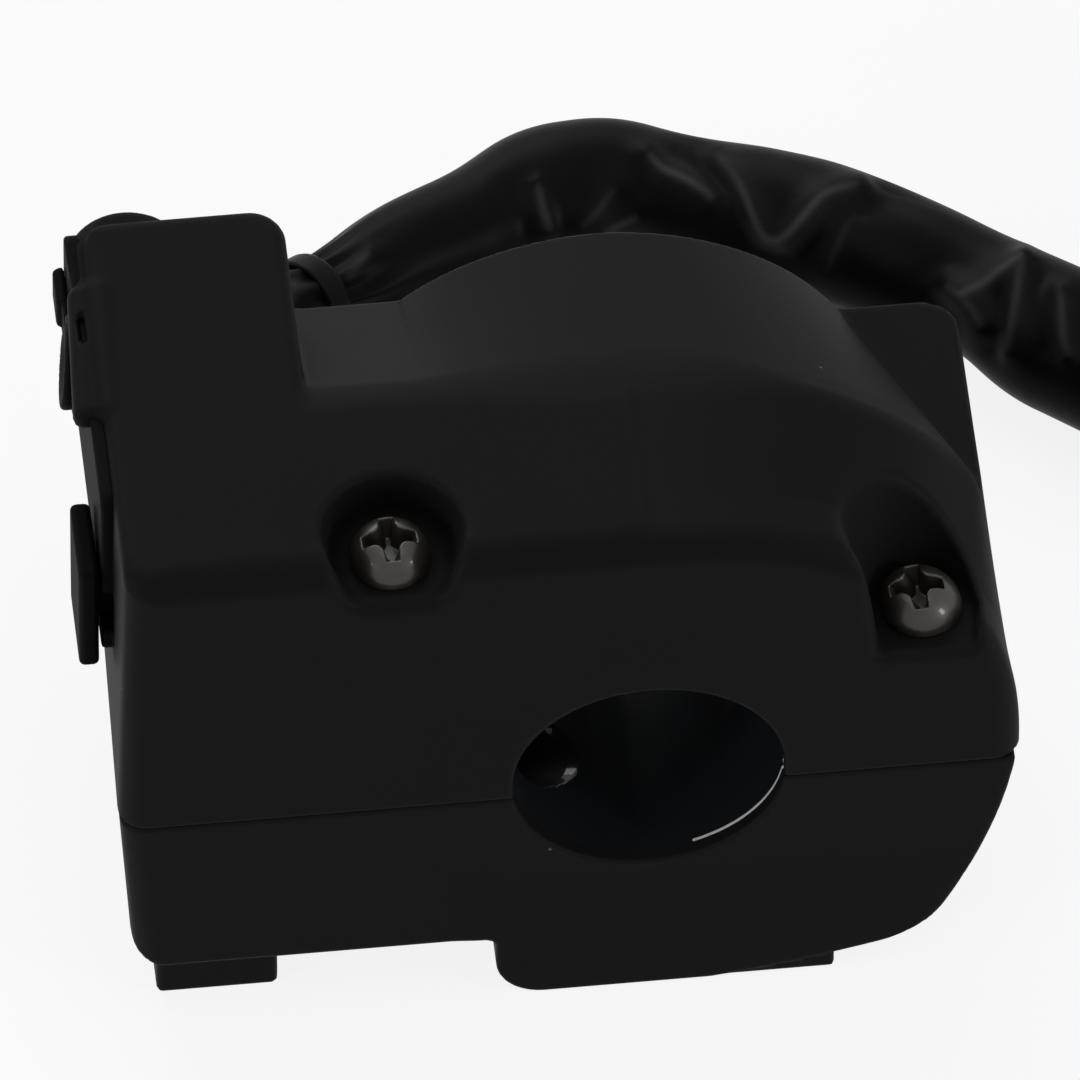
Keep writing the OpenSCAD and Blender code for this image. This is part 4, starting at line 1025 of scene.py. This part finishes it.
def make_harness():
    """Sleeve as one tube along the whole route, with the photographed folds on the side that shows and a
    highlight painted pale along their crests.
    """
    s = sizes()
    look = finishes()
    path = harness_path()
    along, side, rise = path_frame(path)
    columns = 120
    angle = np.linspace(0, 2 * np.pi, columns, endpoint=False)[None, :]
    out = np.cos(angle)[..., None] * side[:, None] + np.sin(angle)[..., None] * rise[:, None]
    radius = sleeve_radius(along[:, None], angle)
    middle = path.copy()
    middle[:, 1] += along_route(along, ROUTE_SLACK)
    skin = middle[:, None] + radius[..., None] * out
    to_camera = np.cross(PHOTO_ACROSS, PHOTO_RISE)
    facing = np.clip(out @ to_camera / np.linalg.norm(to_camera), 0, 1)
    pixels = in_photo(skin)
    # Crest: strength of a highlight painted pale along each raised fold, kept in the attribute edge
    crest = np.zeros(radius.shape)
    shown = np.minimum(facing * 3, 1)
    for line, height, width in FOLDS:
        away, part = line_distance(pixels, line)
        radius = radius + height * np.exp(-((away / width) ** 2)) * shown
        strong = np.clip(height, 0, 1) * np.sqrt(4 * part * (1 - part)) * shown
        crest += strong * (0.6 * np.exp(-((away / 0.3) ** 2)) + 0.12 * np.exp(-((away / width) ** 2)))
    skin = middle[:, None] + radius[..., None] * out
    skin[..., 2] = np.maximum(skin[..., 2], -s.foot + 0.05)
    rows = len(path)
    points = np.concatenate([skin.reshape(-1, 3), path[:1], path[-1:]])
    ends = np.arange(columns)
    first = np.stack([np.roll(ends, -1), ends, np.full(columns, rows * columns)], axis=1)
    last = np.stack([ends, np.roll(ends, -1), np.full(columns, -1)], axis=1) + (rows - 1) * columns
    last[:, 2] = rows * columns + 1
    faces = grid_faces(rows, columns).tolist() + first.tolist() + last.tolist()
    edge = np.concatenate([np.clip(crest, 0, 1).ravel(), [0, 0]])
    sleeve = add_mesh("harness_sleeve_skin", points, faces, edge)
    dress(sleeve, "housing", "sleeve_vinyl", look("sleeve_black"), "harness_sleeve", "harness_coil")
    on_cord = [make_sleeve_tie(), make_plug()]
    on_cord += [NODES[name] for name in ("coil_tie", "connector_wires", "connector_terminals")]
    make_grommet()


def make_sleeve_tie():
    """Strap pulled tight round the sleeve's neck: a flat ring with a small head."""
    look = finishes()
    centre = ROUTE[NECK]
    chord = ROUTE[NECK + 1] - ROUTE[NECK - 1]
    t = chord / np.linalg.norm(chord)
    side = np.cross(t, UP) / np.linalg.norm(np.cross(t, UP))
    rise = np.cross(side, t)

    def field(x, y, z):
        p = [x - centre[0], y - centre[1], z - centre[2]]
        a, b, c = (sum(u * v for u, v in zip(p, w)) for w in (side, t, rise))
        across = np.hypot(a, c)
        ring = both(np.abs(across - 3.4) - 0.4, np.abs(b) - 1.2, 0.3)
        head = brick(a, b, c, (-1.6, -1.7, -6.2), (1.6, 1.7, -3.4), 0.4)
        return either(ring, head, 0.3)

    tie = add_level_piece("sleeve_tie_strap", field, centre - 7.5, centre + 7.5, 0.3, wear=0.3)
    return dress(tie, "housing", "tie_nylon", look("tie_black"), "sleeve_tie")


def make_grommet():
    """Ribbed rubber boot, a turned profile round the cable's exit."""
    s = sizes()
    look = finishes()
    wall_in = s.length - s.wall

    def field(x, y, z):
        px, pz = x - EXIT_X, z - EXIT_Z
        a = np.hypot(px, pz)
        body = rod(px, pz, y, 5.1, wall_in - 1.35, s.length + 0.3)
        inner = rod(px, pz, y, 6.6, wall_in - 1.35, wall_in - 0.05, 0.3)
        outer = rod(px, pz, y, 6.6, s.length + 0.05, s.length + 1.3, 0.4)
        taper = 6.5 - 0.9 * np.clip((y - s.length - 1.3) / 3.4, 0, 1) - 0.22 * np.cos((y - s.length) * 2.6)
        boot = both((a - taper) * 0.9, np.maximum(s.length + 1 - y, y - 46), 0.3)
        whole = np.minimum(np.minimum(body, inner), either(outer, boot, 0.4))
        return np.maximum(whole, 3.4 - a)

    grommet = add_level_piece(
        "cable_grommet_boot", field, (-36.8, wall_in - 1.5, -16.8), (-23.2, 46.2, -3.2), 0.34
    )
    dress(grommet, "housing", "grommet_rubber", look("grommet_black"), "cable_grommet")


def make_plug():
    """Six-way plug: a nylon block with an open mouth, wire holes and a latch arm."""
    look = finishes()
    centre = loop_middle() + 42 * heading(285)
    centre[2] = -27 + 6.2
    turn = np.radians(15 - 90)

    def field(x, y, z):
        px, py, c = x - centre[0], y - centre[1], z - centre[2]
        a = px * np.cos(turn) + py * np.sin(turn)
        b = py * np.cos(turn) - px * np.sin(turn)
        body = brick(a, b, c, (-8.5, -12, -6.2), (8.5, 12, 4.2), 0.5)
        arm = brick(a, b, c, (-3, -8, 4.0), (3, 9, 6.2), 0.5)
        arm = np.maximum(arm, -brick(a, b, c, (-4, -5, 4.2), (4, 10, 5.0)))
        arm = np.minimum(arm, brick(a, b, c, (-3, -8, 3.5), (3, -5, 6.2), 0.5))
        body = either(body, arm, 0.3)
        mouth = brick(a, b, c, (-6.9, 3, -4.6), (6.9, 14, 2.6), 0.4)
        column = np.abs((a + 2.4) % 4.8 - 2.4)
        row = np.minimum(np.abs(c - 1.2), np.abs(c + 3.2))
        hole = np.maximum(np.maximum(np.hypot(column, row) - 1.15, np.abs(a) - 7), b - 4)
        return both(body, -np.minimum(mouth, hole), 0.2)

    plug = add_level_piece("connector_shell_block", field, centre - 16, centre + 16, 0.4, wear=0.3)
    return dress(plug, "housing", "plug_nylon", look("nylon_pale"), "connector_shell")


# Stage


def make_stage():
    """Pale floor, soft lamps, a white surround and the camera of the photograph."""
    scene = bpy.context.scene
    scene.view_settings.view_transform = "Standard"
    floor_z = -sizes().foot * MM - 0.00005
    corner = 3.0
    mesh = bpy.data.meshes.new("floor")
    spread = ((-corner, -corner), (corner, -corner), (corner, corner), (-corner, corner))
    mesh.from_pydata([(x, y, floor_z) for x, y in spread], [], [(0, 1, 2, 3)])
    floor = bpy.data.objects.new("floor", mesh)
    mesh.materials.append(stage_white("floor_white"))
    scene.collection.objects.link(floor)
    surround = bpy.data.worlds.new("surround")
    surround.use_nodes = True
    tree = surround.node_tree
    seen = seen_rays(tree)
    strength = maths(tree, "MULTIPLY_ADD", seen, 0.7, 0.3)
    background = next(n for n in tree.nodes if n.type == "BACKGROUND")
    background.inputs["Color"].default_value = (1.0, 1.0, 1.0, 1.0)
    tree.links.new(strength, background.inputs["Strength"])
    scene.world = surround
    for name, place, wide, tall, power in (
        ("lamp_left", (-0.85, -0.42, 0.22), 0.18, 0.26, 2.5),
        ("lamp_right", (0.85, -0.42, 0.22), 0.18, 0.26, 2.5),
        ("lamp_back", (-0.15, 0.85, 0.6), 0.7, 0.7, 5.2),
        ("lamp_top", (0.1, -0.1, 1.0), 0.8, 0.8, 1.9),
    ):
        light = bpy.data.lights.new(name, "AREA")
        light.shape = "RECTANGLE"
        light.size = wide
        light.size_y = tall
        light.energy = power
        lamp = bpy.data.objects.new(name, light)
        lamp.matrix_world = turned(place, place)
        scene.collection.objects.link(lamp)
    add_camera()


def turned(place, back, across=None):
    """Matrix of an object at a place that looks away from back, level unless its right side is given."""
    back = np.array(back, float) / np.linalg.norm(back)
    right = np.cross(UP, back) if across is None else np.array(across, float)
    right /= np.linalg.norm(right)
    rise = np.cross(back, right)
    matrix = Matrix.Identity(4)
    for row in range(3):
        matrix[row] = (right[row], rise[row], back[row], place[row])
    return matrix


def add_camera():
    """Long-lens camera whose picture puts the case where the photograph has it."""
    scene = bpy.context.scene
    scale = np.linalg.norm(PHOTO_ACROSS)
    right = PHOTO_ACROSS / scale
    rise = PHOTO_RISE / np.linalg.norm(PHOTO_RISE)
    back = np.cross(right, rise)
    middle = PHOTO_SIZE / 2
    aim = (right * (middle - PHOTO_ORIGIN[0]) + rise * (PHOTO_ORIGIN[1] - middle)) / scale * MM
    camera = bpy.data.objects.new("camera", bpy.data.cameras.new("camera"))
    camera.data.sensor_width = SENSOR_WIDTH
    camera.data.sensor_fit = "HORIZONTAL"
    camera.data.lens = LENS_FACTOR * CAMERA_DISTANCE / (PHOTO_SIZE / scale * MM)
    camera.data.clip_end = CAMERA_CLIP
    camera.matrix_world = turned(aim + CAMERA_DISTANCE * back, back, right)
    scene.collection.objects.link(camera)
    scene.camera = camera


class ClusterOperator:
    """Shared form of the operators: each runs its make function once."""

    bl_options = {"REGISTER", "UNDO"}

    def execute(self, context):
        self.make()
        return {"FINISHED"}


class CLUSTER_OT_stage(ClusterOperator, bpy.types.Operator):
    """Add the floor, the lamps and the camera"""

    bl_idname = "cluster.stage"
    bl_label = "Stage"
    make = staticmethod(make_stage)


class CLUSTER_OT_harness(ClusterOperator, bpy.types.Operator):
    """Add the harness sleeve, its tie, its boot and its plug"""

    bl_idname = "cluster.harness"
    bl_label = "Harness"
    make = staticmethod(make_harness)


class CLUSTER_OT_case(ClusterOperator, bpy.types.Operator):
    """Add both shells of the case"""

    bl_idname = "cluster.case"
    bl_label = "Case"
    make = staticmethod(make_case)


class CLUSTER_OT_screws(ClusterOperator, bpy.types.Operator):
    """Add the case screws"""

    bl_idname = "cluster.screws"
    bl_label = "Case screws"
    make = staticmethod(make_screws)


class CLUSTER_OT_controls(ClusterOperator, bpy.types.Operator):
    """Add the bezel, the button and the knobs"""

    bl_idname = "cluster.controls"
    bl_label = "Controls"
    make = staticmethod(make_controls)


class CLUSTER_OT_inner(ClusterOperator, bpy.types.Operator):
    """Give the parts inside the case their finishes"""

    bl_idname = "cluster.inner"
    bl_label = "Inner parts"
    make = staticmethod(make_inner)


OPERATORS = (
    CLUSTER_OT_stage, CLUSTER_OT_harness, CLUSTER_OT_case, CLUSTER_OT_screws, CLUSTER_OT_controls,
    CLUSTER_OT_inner,
)


class CLUSTER_PT_panel(bpy.types.Panel):
    """Sidebar panel that lists the pieces"""

    bl_idname = "CLUSTER_PT_panel"
    bl_label = "Switch cluster"
    bl_space_type = "VIEW_3D"
    bl_region_type = "UI"
    bl_category = "Switch cluster"

    def draw(self, context):
        for operator in OPERATORS:
            self.layout.operator(operator.bl_idname)
        for key in ClusterSizes.__annotations__:
            self.layout.prop(context.scene.cluster_sizes, key)
        for key in ClusterColours.__annotations__:
            self.layout.prop(context.scene.cluster_colours, key)


CLASSES = (ClusterSizes, ClusterColours, *OPERATORS, CLUSTER_PT_panel)


def register():
    """Register the classes and the scene's properties."""
    for item in CLASSES:
        bpy.utils.register_class(item)
    bpy.types.Scene.cluster_sizes = bpy.props.PointerProperty(type=ClusterSizes)
    bpy.types.Scene.cluster_colours = bpy.props.PointerProperty(type=ClusterColours)


def unregister():
    """Remove the scene's properties and the classes."""
    del bpy.types.Scene.cluster_colours
    del bpy.types.Scene.cluster_sizes
    for item in reversed(CLASSES):
        bpy.utils.unregister_class(item)


def main():
    """Register the classes, then build every piece."""
    register()
    for operator in OPERATORS:
        group, name = operator.bl_idname.split(".")
        getattr(getattr(bpy.ops, group), name)()


if __name__ == "__main__":
    main()
